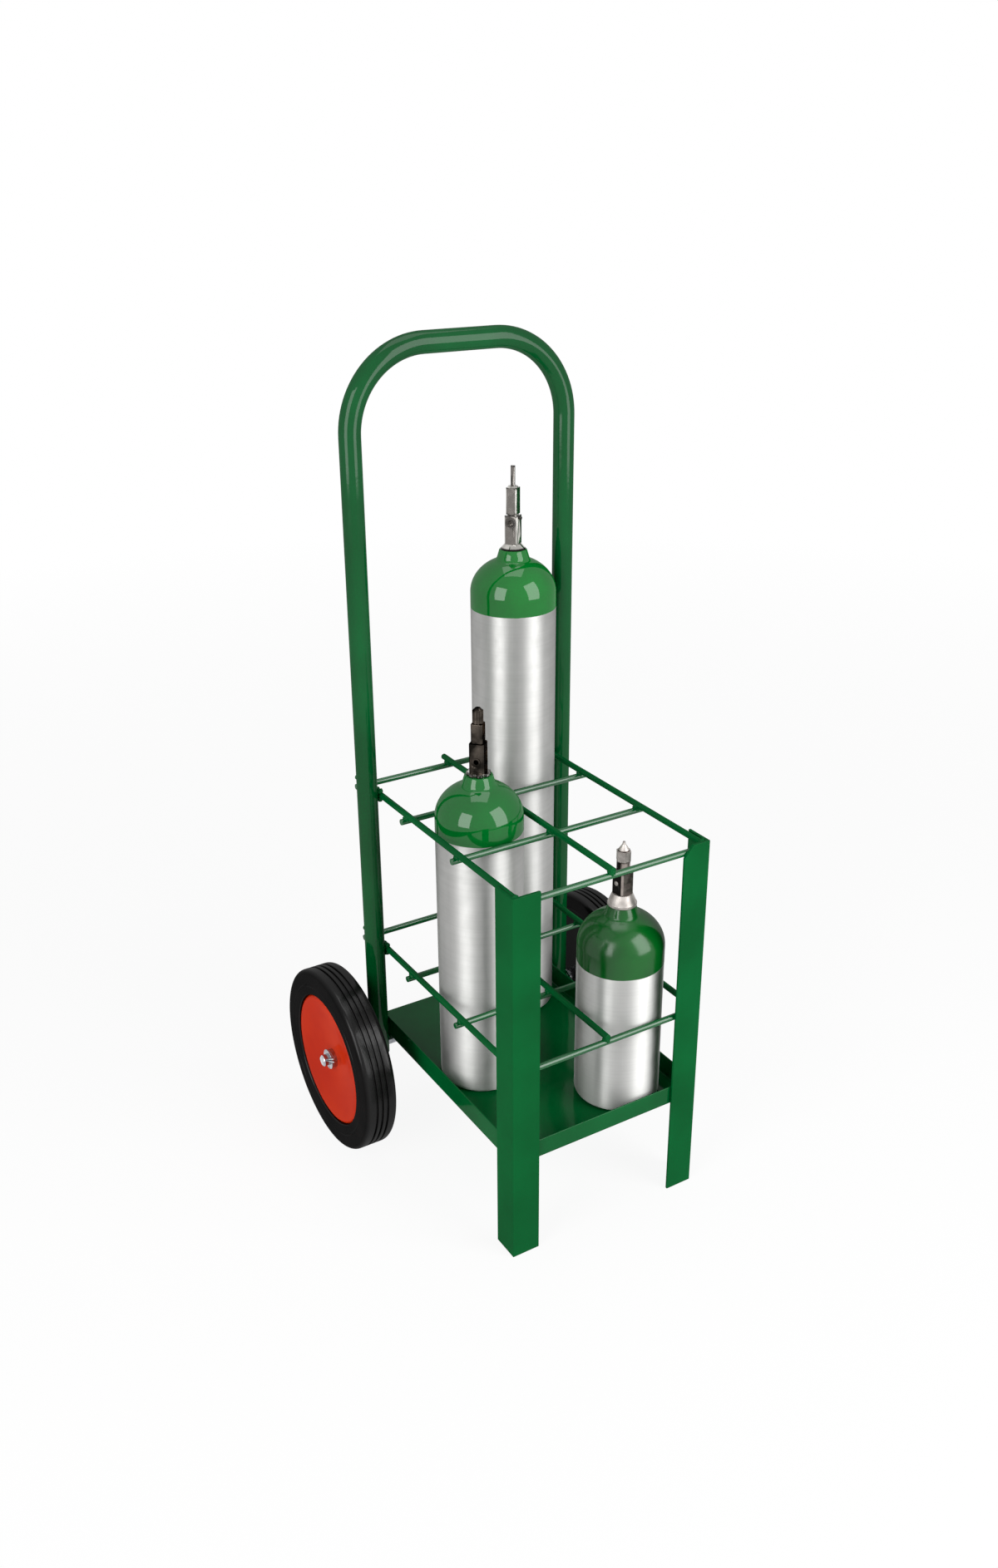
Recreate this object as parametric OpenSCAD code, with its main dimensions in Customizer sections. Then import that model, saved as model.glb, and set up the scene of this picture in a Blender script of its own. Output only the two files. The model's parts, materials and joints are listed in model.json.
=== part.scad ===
// Two-wheeled push cart for small gas cylinders, with three cylinders standing in its six bays.
// X runs across the cart, Y from front to back, Z up. The origin is on the floor, under the middle.

/* [Cylinders] */
// Outside diameter of the cylinders
cyl_d = 111; // [95:0.5:130]
// Length of the tall shell with its neck
tall_len = 669; // [560:1:690]
// Length of the medium shell with its neck
medium_len = 435; // [340:1:520]
// Length of the short shell with its neck
short_len = 277; // [200:1:320]
// Wall of the shells
shell_wall = 6; // [4:0.5:7]
// Thickness of the shells' bottom
base_t = 8; // [6:0.5:12]
// Radius of the rounded bottom edge
heel_r = 8; // [7.5:0.5:16]
// Full height of the shoulder's half ellipse
dome_h = 46; // [34:1:54]
// Outside diameter of the neck where it leaves the shoulder
neck_d = 43; // [41:0.5:48]
// Outside diameter of the neck's top
neck_top_d = 35; // [34:0.5:40]
// Height of the tapered neck
neck_h = 13.5; // [8:0.5:16]
// Diameter of the threaded hole in the neck
neck_bore_d = 19; // [16:0.5:22]
// How far the medium cylinder stands towards the front of its bay
medium_forward = 3; // [0:0.5:4]
// How far the short cylinder stands towards the front of its bay
short_forward = 3; // [0:0.5:4]
// How far the short cylinder stands towards the middle of the cart
short_inward = 3; // [0:0.5:6]

/* [Bays and rods] */
// Diameter of the round bar of both tiers
rod_d = 8; // [6:0.5:10]
// Free space left and right of a cylinder in its bay
side_gap = 6.5; // [6.5:0.5:12]
// Free space before and behind a cylinder in its bay
end_gap = 4.5; // [4.5:0.5:10]
// Rows of bays from front to back
rows = 3; // [3:1:3]
// Height of the lower tier's long rods
lower_z = 276; // [240:1:330]
// Height of the upper tier's long rods
upper_z = 507; // [420:1:560]
// Length of a cross rod past the outer long rods
cross_over = 9; // [5:0.5:14]
// Length of a long rod past the rear cross rod
long_over = 13; // [8:0.5:24]
// Radius of a weld bead where two rods cross
bead_r = 5.5; // [4.5:0.1:6]
// Radius of a weld bead between a long rod and the handle
leg_bead_r = 2.8; // [1.5:0.1:3]

/* [Front legs] */
// Width of each flange of the angle steel
leg_w = 38; // [30:1:45]
// Thickness of the angle steel
leg_t = 4; // [3:0.5:5]
// Width of the corner cut off the right leg's top
cope_w = 13; // [4:0.5:14]
// Height of the corner cut off the right leg's top
cope_h = 16; // [6:0.5:18]

/* [Tray] */
// Thickness of the tray sheet
tray_t = 2; // [1.5:0.25:3]
// Height of the side lips over the tray's underside
side_lip_h = 31; // [20:1:45]
// Height of the front lip over the tray's underside
front_lip_h = 27; // [18:1:40]
// Outer radius of the folds
fold_r = 4; // [3.5:0.25:6]
// How far the tray stops short of the rear cross rod's middle
tray_short = 2; // [0:0.5:10]

/* [Handle] */
// Outside diameter of the handle tube
tube_d = 26.7; // [22:0.1:30]
// Wall of the handle tube
tube_wall = 2; // [1.5:0.1:3]
// Height of the top bar's centre line
handle_z = 1065; // [1040:1:1150]
// Radius of the two top bends on the centre line
bend_r = 100; // [60:1:125]
// Distance from the rear cross rods forward to the handle and axle
axle_ahead = 52; // [30:1:90]
// Length of the handle legs below the axle's centre
leg_below_axle = 15; // [12:0.5:25]

/* [Axle] */
// Diameter of the axle
axle_d = 16; // [14:0.5:18]
// Free length of the axle outside the outer washer
axle_end = 9; // [8:0.5:14]
// Radial size of the weld around the axle at the handle
axle_weld = 3; // [2:0.25:3.5]
// Thickness of a washer
washer_t = 2; // [1.5:0.25:3]
// Outside diameter of a washer
washer_d = 28; // [24:0.5:34]
// Diameter of the split pin's shank
pin_d = 3.6; // [3:0.1:4.5]
// Length of the split pin's legs from the axle's middle
pin_reach = 37; // [22:1:40]
// Turn of the split pins, forward and up from level
pin_turn = 30; // [0:1:60]

/* [Wheels] */
// Outside diameter of the tyre
tyre_d = 256; // [230:1:280]
// Width of the tyre
tyre_w = 45; // [34:1:50]
// Diameter of the tyre's seat on the disc
seat_d = 184; // [160:1:200]
// Radius of the tyre's shoulders
shoulder_r = 7; // [5:0.5:12]
// Width of a tread groove
groove_w = 2.6; // [1.5:0.1:4]
// Depth of a tread groove
groove_h = 2.2; // [1:0.1:3]
// Number of tread grooves
grooves = 3; // [1:1:3]
// Distance from the handle tube to the tyre
wheel_gap = 24.5; // [20:0.5:40]
// Thickness of the disc's sheet
disc_t = 2; // [1.5:0.1:2.5]
// How far the disc's rim lies inside the tyre's face
rim_inset = 2.5; // [1:0.5:5]
// How far the disc's middle is dished in from its rim
dish = 11; // [4:0.5:13]
// Outside diameter of the hub tube
hub_d = 26; // [24:0.5:30]
// Wall of the hub tube
hub_wall = 2; // [1.5:0.1:2]
// Length of each bush in the hub
bush_len = 14; // [8:0.5:20]

/* [Valves] */
// Turn of the tall cylinder about its own axis
tall_turn = 35; // [0:1:45]
// Turn of the medium cylinder about its own axis
medium_turn = 42; // [0:1:45]
// Turn of the short cylinder about its own axis
short_turn = 5; // [0:1:45]
// Length of a valve's thread inside the neck
thread_len = 20; // [14:0.5:26]
// Height of the tall valve's skirt
tall_skirt_h = 7; // [4:0.5:10]
// Width of the tall valve's body block
tall_block_w = 17.5; // [14:0.5:19]
// Height of the tall valve's body block
tall_block_h = 36; // [28:0.5:42]
// Width of the tall valve's post
tall_post_w = 14.5; // [11:0.5:15]
// Height of the tall valve's post
tall_post_h = 37; // [28:0.5:44]
// Diameter of the tall valve's stem
tall_stem_d = 5.8; // [4.5:0.1:7]
// Height of the tall valve's stem over the post
tall_stem_h = 25; // [16:0.5:32]
// Height of the medium valve's neck ring
ring_h = 4; // [3:0.5:6]
// Diameter of the medium valve's neck ring
ring_d = 30; // [26:0.5:36]
// Width of the medium valve's body block
medium_block_w = 19; // [15:0.5:20]
// Height of the medium valve's body block
medium_block_h = 38; // [34:0.5:50]
// Width of the medium valve's post
medium_post_w = 15; // [11:0.5:15]
// Height of the medium valve's post
medium_post_h = 25; // [16:0.5:28]
// Diameter of the medium valve's knob
knob_d = 13.6; // [11:0.2:18]
// Height of the medium valve's knob
knob_h = 20; // [12:0.5:26]
// Diameter of the short valve's collar at the neck
collar_d = 37; // [32:0.5:40]
// Height of the short valve's collar
collar_h = 16; // [10:0.5:20]
// Width of the short valve's body block
short_block_w = 20; // [16:0.5:21]
// Height of the short valve's body block
short_block_h = 30; // [24:0.5:40]
// Height of the round bonnet over the short valve's block
bonnet_h = 14; // [8:0.5:20]
// Diameter of the round bonnet
bonnet_d = 17; // [14:0.5:20]
// Width of the gland nut across its corners
gland_d = 19; // [16:0.5:22]
// Height of the gland nut
gland_h = 14; // [10:0.5:18]
// Height of the pointed spindle over the gland nut
spindle_h = 12; // [10:0.5:20]
// Diameter of a valve's outlet
port_d = 6.4; // [4:0.2:8]

/* [Hidden] */
$fn = 64;

// Colours
green = "#00642d";
aluminium = "#cdcdcf";
plated = "#d9dadb";
red = "#cd2d19";
black = "#141414";
rubber = "#1b1b1c";
dark_brass = "#4a4640";

// Clearances: pressed or welded seats, running fits, and end play of turning pieces
seat = 0.05;
running = 0.05;
play = 0.3;

// Rods and bays
rod_r = rod_d / 2;
long_x = cyl_d + rod_d + 2 * side_gap;
pitch_y = cyl_d + rod_d + 2 * end_gap;
edge_x = long_x + rod_r;
tyre_r = tyre_d / 2;
front_depth = leg_t + rod_r;
depth = front_depth + rows * pitch_y - axle_ahead + tyre_r;
first_y = front_depth - depth / 2;
function cross_y(i) = first_y + i * pitch_y;
front_y = first_y - rod_r;
axle_y = cross_y(rows) - axle_ahead;
axle_z = tyre_r;
rod_end_y = cross_y(rows) + long_over;
cross_end_x = long_x + cross_over;

// Tray
tray_z = axle_z + axle_d / 2;
floor_z = tray_z + tray_t;
tray_back_y = cross_y(rows) - tray_short;

// Handle
tube_r = tube_d / 2;
handle_x = edge_x + tube_r;
handle_foot_z = axle_z - leg_below_axle;
handle_side_x = handle_x + tube_r;

// Wheel, measured along the axle from the cart's middle
tyre_x = handle_side_x + wheel_gap;
tyre_face_x = tyre_x + tyre_w;
mid_x = tyre_x + tyre_w / 2;
rim_x = tyre_face_x - rim_inset;
inner_rim_x = tyre_x + rim_inset;
disc_mid_x = rim_x - dish;
weld_x = handle_side_x + axle_weld;
inner_washer_x = weld_x + play;
hub_x = inner_washer_x + washer_t + play;
hub_end_x = disc_mid_x + disc_t + 6;
outer_washer_x = hub_end_x + play;
axle_end_x = outer_washer_x + washer_t + axle_end;
pin_x = outer_washer_x + washer_t + axle_end / 2;
hub_r = hub_d / 2;
bush_r = hub_r - hub_wall;

// Cylinders
cyl_r = cyl_d / 2;
neck_r = neck_d / 2;
neck_angle = acos(neck_r / cyl_r);
dome_z_drop = neck_h + dome_h * sin(neck_angle);
thread_r = neck_bore_d / 2 - seat;
tall_x = long_x / 2;
tall_y = cross_y(2) + pitch_y / 2;
medium_x = -long_x / 2;
medium_y = cross_y(1) + pitch_y / 2 - medium_forward;
short_x = long_x / 2 - short_inward;
short_y = cross_y(0) + pitch_y / 2 - short_forward;
tall_top_z = floor_z + tall_len;
medium_top_z = floor_z + medium_len;
short_top_z = floor_z + short_len;
tall_post_z = tall_skirt_h + tall_block_h;
medium_post_z = ring_h + medium_block_h;
gland_z = collar_h + short_block_h + bonnet_h;
stem_hole_h = 16;
tall_port_z = tall_skirt_h + tall_block_h * 0.75;
medium_port_z = ring_h + medium_block_h * 0.4;
port_deep = 6;
plug_d = 4;
plug_deep = 3;
plug_z = tall_post_z - 3;

// Points of an arc or a part of an ellipse
function arc(cx, cy, rx, ry, from, to, steps) =
    [for (i = [0 : steps]) let (a = from + (to - from) * i / steps) [cx + rx * cos(a), cy + ry * sin(a)]];

// A bar along X, centred on x = 0
module bar_x(length, diameter) {
    rotate([0, 90, 0]) cylinder(d = diameter, h = length, center = true);
}

// A bar along Y from one place to another
module bar_y(from, to, diameter) {
    translate([0, from, 0]) rotate([-90, 0, 0]) cylinder(d = diameter, h = to - from);
}

// Lays a shape turned about Z along the axle, on the right side (1) or the left side (-1)
module on_axle(side, x) {
    translate([side * x, axle_y, axle_z]) rotate([0, side * 90, 0]) children();
}

// Frame

// One side of the handle: straight leg, bend and half the top bar
module handle_half(diameter, foot_z) {
    translate([handle_x, axle_y, foot_z]) cylinder(d = diameter, h = handle_z - bend_r - foot_z);
    translate([handle_x - bend_r, axle_y, handle_z - bend_r])
        rotate([90, 0, 0]) rotate_extrude(angle = 90) translate([bend_r, 0]) circle(d = diameter);
    translate([0, axle_y, handle_z]) rotate([0, 90, 0]) cylinder(d = diameter, h = handle_x - bend_r);
}

module handle() {
    color(green) difference() {
        union() {
            handle_half(tube_d, handle_foot_z);
            mirror([1, 0, 0]) handle_half(tube_d, handle_foot_z);
        }
        handle_half(tube_d - 2 * tube_wall, handle_foot_z - 1);
        mirror([1, 0, 0]) handle_half(tube_d - 2 * tube_wall, handle_foot_z - 1);
        translate([0, axle_y, axle_z]) bar_x(2 * handle_side_x + 2, axle_d + 2 * seat);
    }
}

// Outline of one upturned lip with its fold; the sheet's outer side is on x = 0
module lip_outline(height, floor_w) {
    polygon(concat(
        [[floor_w, 0]],
        arc(fold_r, fold_r, fold_r, fold_r, -90, -180, 8),
        [[0, height], [tray_t, height]],
        arc(fold_r, fold_r, fold_r - tray_t, fold_r - tray_t, -180, -90, 8),
        [[floor_w, tray_t]]));
}

module side_lip() {
    translate([-edge_x, tray_back_y, tray_z]) rotate([90, 0, 0])
        linear_extrude(tray_back_y - front_y) lip_outline(side_lip_h, edge_x);
}

module tray() {
    color(green) union() {
        side_lip();
        mirror([1, 0, 0]) side_lip();
        translate([-edge_x + fold_r, front_y, tray_z]) rotate([90, 0, 90])
            linear_extrude(2 * edge_x - 2 * fold_r) lip_outline(front_lip_h, 2 * fold_r);
        translate([-edge_x, front_y, tray_z + fold_r]) cube([2 * edge_x, tray_t, front_lip_h - fold_r]);
    }
}

// A front leg on the right side: angle steel with its corner outward
module front_leg(cut_corner) {
    top_z = upper_z + rod_r;
    outer_x = edge_x + leg_t;
    difference() {
        union() {
            translate([outer_x - leg_w, front_y - leg_t, 0]) cube([leg_w, leg_t, top_z]);
            translate([edge_x, front_y - leg_t, 0]) cube([leg_t, leg_w, top_z]);
        }
        if (cut_corner) {
            translate([outer_x - leg_w, front_y + 1, top_z]) rotate([90, 0, 0])
                linear_extrude(leg_t + 2) polygon([[-1, 1], [-1, -cope_h], [0, -cope_h], [cope_w, 0], [cope_w, 1]]);
        }
    }
}

module front_leg_left() { color(green) mirror([1, 0, 0]) front_leg(false); }
module front_leg_right() { color(green) front_leg(true); }

// Rods of a tier; z is the height of its long rods, and the cross rods lie under them
module long_rod(z, x) {
    color(green) translate([x, 0, z]) bar_y(front_y, rod_end_y, rod_d);
}

// The front cross rod ends between the legs, the others run past the long rods
module cross_rod(z, i) {
    length = i == 0 ? 2 * edge_x : 2 * cross_end_x;
    color(green) translate([0, cross_y(i), z - rod_d]) bar_x(length, rod_d);
}

module upper_long_rod_left() { long_rod(upper_z, -long_x); }
module upper_long_rod_middle() { long_rod(upper_z, 0); }
module upper_long_rod_right() { long_rod(upper_z, long_x); }
module upper_cross_rod_1() { cross_rod(upper_z, 0); }
module upper_cross_rod_2() { cross_rod(upper_z, 1); }
module upper_cross_rod_3() { cross_rod(upper_z, 2); }
module upper_cross_rod_4() { cross_rod(upper_z, 3); }
module lower_long_rod_left() { long_rod(lower_z, -long_x); }
module lower_long_rod_middle() { long_rod(lower_z, 0); }
module lower_long_rod_right() { long_rod(lower_z, long_x); }
module lower_cross_rod_1() { cross_rod(lower_z, 0); }
module lower_cross_rod_2() { cross_rod(lower_z, 1); }
module lower_cross_rod_3() { cross_rod(lower_z, 2); }
module lower_cross_rod_4() { cross_rod(lower_z, 3); }

// Weld beads where long and cross rods touch
module tier_welds(z) {
    color(green) for (x = [-long_x, 0, long_x], i = [1 : rows]) {
        translate([x, cross_y(i), z - rod_r]) difference() {
            sphere(r = bead_r, $fn = 24);
            translate([0, 0, rod_r]) bar_y(-bead_r - 1, bead_r + 1, rod_d + 2 * seat);
            translate([0, 0, -rod_r]) bar_x(2 * bead_r + 2, rod_d + 2 * seat);
        }
    }
}

module upper_tier_welds() { tier_welds(upper_z); }
module lower_tier_welds() { tier_welds(lower_z); }

// Weld beads over and under the long rods, each against the rod and the handle's leg
module handle_welds() {
    reach = rod_r + leg_bead_r + seat;
    across = rod_r - leg_bead_r - seat;
    color(green) for (side = [-1, 1], z = [lower_z, upper_z], s = [-1, 1]) {
        translate([side * (long_x + across), axle_y, z + s * sqrt(reach * reach - across * across)])
            sphere(r = leg_bead_r, $fn = 32);
    }
}

// Weld collars round the axle on the outside of the handle's legs
module axle_welds() {
    color(green) for (side = [-1, 1]) {
        difference() {
            on_axle(side, handle_side_x - tube_r / 2)
                cylinder(r1 = axle_d / 2 + 2 * axle_weld, r2 = axle_d / 2 + axle_weld / 2,
                         h = tube_r / 2 + axle_weld);
            translate([0, axle_y, axle_z]) bar_x(2 * axle_end_x, axle_d + 2 * seat);
            translate([side * handle_x, axle_y, axle_z - tube_d]) cylinder(r = tube_r + seat, h = 2 * tube_d);
        }
    }
}

// Axle

module axle() {
    chamfer = 1.5;
    color(plated) difference() {
        union() {
            translate([0, axle_y, axle_z]) bar_x(2 * (axle_end_x - chamfer), axle_d);
            for (side = [-1, 1]) on_axle(side, axle_end_x - chamfer)
                cylinder(d1 = axle_d, d2 = axle_d - 2 * chamfer, h = chamfer);
        }
        for (side = [-1, 1]) translate([side * pin_x, axle_y, axle_z])
            rotate([90 - pin_turn, 0, 0]) cylinder(d = pin_d + 2 * seat, h = 2 * axle_d, center = true);
    }
}

module washer() {
    difference() {
        cylinder(d = washer_d, h = washer_t);
        translate([0, 0, -1]) cylinder(d = axle_d + 2 * seat, h = washer_t + 2);
    }
}

module axle_washers() {
    color(plated) for (side = [-1, 1], x = [inner_washer_x, outer_washer_x]) on_axle(side, x) washer();
}

// A split pin: shank through the axle, two spread legs and an eye
module split_pin() {
    leg_d = pin_d / 2;
    shank_end = axle_d / 2 + 3;
    spread = 3;
    eye_r = pin_d;
    translate([0, 0, -shank_end]) cylinder(d = pin_d, h = 2 * shank_end);
    for (s = [-1, 1]) translate([0, s * leg_d / 2, shank_end - 1]) rotate([-s * spread, 0, 0])
        cylinder(d = leg_d, h = pin_reach - shank_end);
    translate([0, 0, -shank_end - eye_r + leg_d / 2]) rotate([0, 90, 0])
        rotate_extrude() translate([eye_r, 0]) circle(d = leg_d, $fn = 24);
}

module split_pins() {
    color(plated) for (side = [-1, 1]) translate([side * pin_x, axle_y, axle_z])
        rotate([90 - pin_turn, 0, 0]) split_pin();
}

// Wheels; outlines have the radius on X and the distance from the wheel's middle plane on Y

module tyre_outline() {
    half_w = tyre_w / 2;
    inner_r = seat_d / 2 + seat;
    corner_r = 3;
    groove_gap = (tyre_w - 2 * shoulder_r) / (grooves + 1);
    difference() {
        polygon(concat(
            arc(inner_r + corner_r, -half_w + corner_r, corner_r, corner_r, 180, 270, 6),
            arc(tyre_r - shoulder_r, -half_w + shoulder_r, shoulder_r, shoulder_r, -90, 0, 12),
            arc(tyre_r - shoulder_r, half_w - shoulder_r, shoulder_r, shoulder_r, 0, 90, 12),
            arc(inner_r + corner_r, half_w - corner_r, corner_r, corner_r, 90, 180, 6)));
        for (i = [1 : grooves]) {
            translate([tyre_r - groove_h, -half_w + shoulder_r + i * groove_gap - groove_w / 2])
                square([groove_h + 1, groove_w]);
        }
    }
}

module tyre(side) {
    color(rubber) on_axle(side, mid_x) rotate_extrude($fn = 128) tyre_outline();
}

// Outline of one pressed half disc: hub edge, dished web, rounded rim and the flange under the tyre
module disc_outline() {
    rim_y = rim_x - mid_x;
    web_y = rim_y - dish;
    seat_r = seat_d / 2;
    flat_r = hub_r + 12;
    bend = 5;
    polygon(concat(
        [[hub_r + seat, web_y], [flat_r, web_y]],
        [[seat_r - bend - 14, rim_y - 1.5 - disc_t]],
        arc(seat_r - bend, rim_y - bend, bend - disc_t, bend - disc_t, 90, 0, 6),
        [[seat_r - disc_t, seat], [seat_r, seat]],
        arc(seat_r - bend, rim_y - bend, bend, bend, 0, 90, 8),
        [[seat_r - bend - 14, rim_y - 1.5], [flat_r, web_y + disc_t], [hub_r + seat, web_y + disc_t]]));
}

module outer_disc(side) {
    color(red) on_axle(side, mid_x) rotate_extrude($fn = 128) disc_outline();
}

module inner_disc(side) {
    color(black) on_axle(side, mid_x) mirror([0, 0, 1]) rotate_extrude($fn = 128) disc_outline();
}

module hub_tube(side) {
    color(plated) on_axle(side, hub_x) difference() {
        cylinder(r = hub_r, h = hub_end_x - hub_x);
        translate([0, 0, -1]) cylinder(r = bush_r + seat, h = hub_end_x - hub_x + 2);
    }
}

module hub_bushes(side) {
    color(dark_brass) for (x = [hub_x, hub_end_x - bush_len]) on_axle(side, x) difference() {
        cylinder(r = bush_r, h = bush_len);
        translate([0, 0, -1]) cylinder(r = axle_d / 2 + running, h = bush_len + 2);
    }
}

module tyre_left() { tyre(-1); }
module outer_disc_left() { outer_disc(-1); }
module inner_disc_left() { inner_disc(-1); }
module hub_tube_left() { hub_tube(-1); }
module hub_bushes_left() { hub_bushes(-1); }
module tyre_right() { tyre(1); }
module outer_disc_right() { outer_disc(1); }
module inner_disc_right() { inner_disc(1); }
module hub_tube_right() { hub_tube(1); }
module hub_bushes_right() { hub_bushes(1); }

// Cylinders

// A hollow shell standing on z = 0
module shell(length) {
    shoulder_z = length - dome_z_drop;
    in_r = cyl_r - shell_wall;
    in_heel = heel_r - shell_wall;
    bore_r = neck_bore_d / 2;
    in_angle = acos(bore_r / in_r);
    color(aluminium) rotate_extrude($fn = 96) polygon(concat(
        [[0, 0]],
        arc(cyl_r - heel_r, heel_r, heel_r, heel_r, -90, 0, 8),
        arc(0, shoulder_z, cyl_r, dome_h, 0, neck_angle, 16),
        [[neck_top_d / 2, length], [bore_r, length]],
        arc(0, shoulder_z, in_r, dome_h - shell_wall, in_angle, 0, 16),
        arc(in_r - in_heel, base_t + in_heel, in_heel, in_heel, 0, -90, 6),
        [[0, base_t]]));
}

module in_tall_bay(z) { translate([tall_x, tall_y, z]) rotate([0, 0, tall_turn]) children(); }
module in_medium_bay(z) { translate([medium_x, medium_y, z]) rotate([0, 0, medium_turn]) children(); }
module in_short_bay(z) { translate([short_x, short_y, z]) rotate([0, 0, short_turn]) children(); }

module tall_shell() { in_tall_bay(floor_z) shell(tall_len); }
module medium_shell() { in_medium_bay(floor_z) shell(medium_len); }
module short_shell() { in_short_bay(floor_z) shell(short_len); }

// Square block with its corners turned round
module block(width, height) {
    intersection() {
        translate([-width / 2, -width / 2, 0]) cube([width, width, height]);
        cylinder(d = width * 1.27, h = height);
    }
}

// Threaded end inside the neck
module thread() {
    translate([0, 0, -thread_len]) cylinder(r = thread_r, h = thread_len);
}

// Outlet on the block's left face, at a height over the neck
module port(width, z, deep) {
    translate([-width / 2 - 1, 0, z]) rotate([0, 90, 0]) {
        cylinder(d = port_d, h = deep + 1);
        difference() {
            cylinder(d = port_d + 7, h = 1.8);
            translate([0, 0, -1]) cylinder(d = port_d + 4, h = 4);
        }
    }
}

// Blind hole for a stem in the top of a post of this height
module stem_hole(height, diameter) {
    translate([0, 0, height - stem_hole_h]) cylinder(d = diameter + 2 * running, h = stem_hole_h + 1);
}

// Valve of the tall cylinder
module tall_valve_body() {
    color(plated) in_tall_bay(tall_top_z) difference() {
        union() {
            thread();
            cylinder(d1 = 34, d2 = tall_block_w * 1.2, h = tall_skirt_h);
            translate([0, 0, tall_skirt_h]) block(tall_block_w, tall_block_h);
        }
        port(tall_block_w, tall_port_z, port_deep);
        translate([0, plug_deep - tall_block_w / 2, plug_z]) rotate([90, 0, 0])
            cylinder(d = plug_d + 2 * seat, h = plug_deep + 1);
    }
}

module tall_valve_post() {
    color(plated) in_tall_bay(tall_top_z + tall_post_z) difference() {
        union() {
            cylinder(d = tall_post_w, h = 2);
            translate([0, 0, 2]) block(tall_post_w, tall_post_h - 4);
            translate([0, 0, tall_post_h - 2]) cylinder(d1 = tall_post_w, d2 = tall_post_w - 3, h = 2);
        }
        stem_hole(tall_post_h, tall_stem_d);
    }
}

module tall_relief_plug() {
    color(plated) in_tall_bay(tall_top_z + plug_z) translate([0, plug_deep - seat - tall_block_w / 2, 0])
        rotate([90, 0, 0]) cylinder(d = plug_d, h = 2 * plug_deep);
}

module tall_stem() {
    flat = tall_stem_d * 0.62;
    color(plated) in_tall_bay(tall_top_z + tall_post_z + tall_post_h) union() {
        translate([0, 0, -stem_hole_h + play]) cylinder(d = tall_stem_d, h = stem_hole_h - play + 1);
        intersection() {
            cylinder(d = tall_stem_d, h = tall_stem_h);
            translate([-flat / 2, -tall_stem_d, 0]) cube([flat, 2 * tall_stem_d, tall_stem_h]);
        }
    }
}

// Valve of the medium cylinder
module medium_neck_ring() {
    color(plated) in_medium_bay(medium_top_z) difference() {
        cylinder(d = ring_d, h = ring_h);
        translate([0, 0, -1]) cylinder(r = thread_r + seat, h = ring_h + 2);
        for (a = [0 : 45 : 315]) rotate([0, 0, a]) translate([ring_d / 2 + 1, 0, -1])
            cylinder(r = 3, h = ring_h + 2, $fn = 24);
    }
}

module medium_valve_body() {
    color(dark_brass) in_medium_bay(medium_top_z) difference() {
        union() {
            translate([0, 0, ring_h]) thread();
            translate([0, 0, ring_h]) block(medium_block_w, medium_block_h);
        }
        port(medium_block_w, medium_port_z, port_deep);
    }
}

module medium_valve_post() {
    color(dark_brass) in_medium_bay(medium_top_z + medium_post_z) difference() {
        block(medium_post_w, medium_post_h);
        stem_hole(medium_post_h, knob_d / 2);
    }
}

module medium_knob() {
    grip_h = knob_h - knob_d / 4;
    color(dark_brass) in_medium_bay(medium_top_z + medium_post_z + medium_post_h) union() {
        translate([0, 0, -stem_hole_h + play]) cylinder(d = knob_d / 2, h = stem_hole_h);
        translate([0, 0, play]) difference() {
            cylinder(d = knob_d, h = grip_h);
            for (a = [0 : 45 : 315]) rotate([0, 0, a]) translate([knob_d / 2 + 0.8, 0, -1])
                cylinder(r = 1.6, h = grip_h + 2, $fn = 24);
        }
        translate([0, 0, grip_h + play]) cylinder(d1 = knob_d - 2.4, d2 = knob_d - 7, h = knob_d / 4 - play);
    }
}

// Valve of the short cylinder
module short_collar() {
    color(plated) in_short_bay(short_top_z) difference() {
        union() {
            cylinder(d = collar_d, h = 3);
            translate([0, 0, 3]) cylinder(d1 = collar_d - 1, d2 = short_block_w * 1.27, h = collar_h - 3);
        }
        translate([0, 0, -1]) cylinder(r = thread_r + seat, h = collar_h + 2);
    }
}

module short_valve_body() {
    color(dark_brass) in_short_bay(short_top_z) difference() {
        union() {
            translate([0, 0, -thread_len]) cylinder(r = thread_r, h = thread_len + collar_h);
            translate([0, 0, collar_h]) block(short_block_w, short_block_h);
            translate([0, 0, collar_h + short_block_h]) cylinder(d = bonnet_d, h = bonnet_h);
        }
        translate([-short_block_w / 2 - 1, 0, collar_h + short_block_h / 2]) rotate([0, 90, 0])
            cylinder(d = port_d + 2 * seat, h = 6);
        stem_hole(gland_z, bonnet_d / 3);
    }
}

module short_port_plug() {
    color(plated) in_short_bay(short_top_z + collar_h + short_block_h / 2)
        translate([-short_block_w / 2 - 1.5, 0, 0]) rotate([0, 90, 0]) cylinder(d = port_d, h = 6);
}

module short_gland_nut() {
    color(plated) in_short_bay(short_top_z + gland_z) difference() {
        cylinder(d = gland_d, h = gland_h, $fn = 6);
        translate([0, 0, -1]) cylinder(d = bonnet_d / 3 + 2 * running, h = gland_h + 2);
    }
}

module short_spindle() {
    tip_h = 4;
    color(plated) in_short_bay(short_top_z + gland_z + gland_h) union() {
        translate([0, 0, -gland_h - stem_hole_h + 2 * play])
            cylinder(d = bonnet_d / 3, h = gland_h + stem_hole_h);
        translate([0, 0, play]) cylinder(d1 = gland_d - 3.5, d2 = 4.5, h = spindle_h - tip_h);
        translate([0, 0, play + spindle_h - tip_h]) cylinder(d1 = 4.5, d2 = 3, h = tip_h - play);
    }
}

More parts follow.
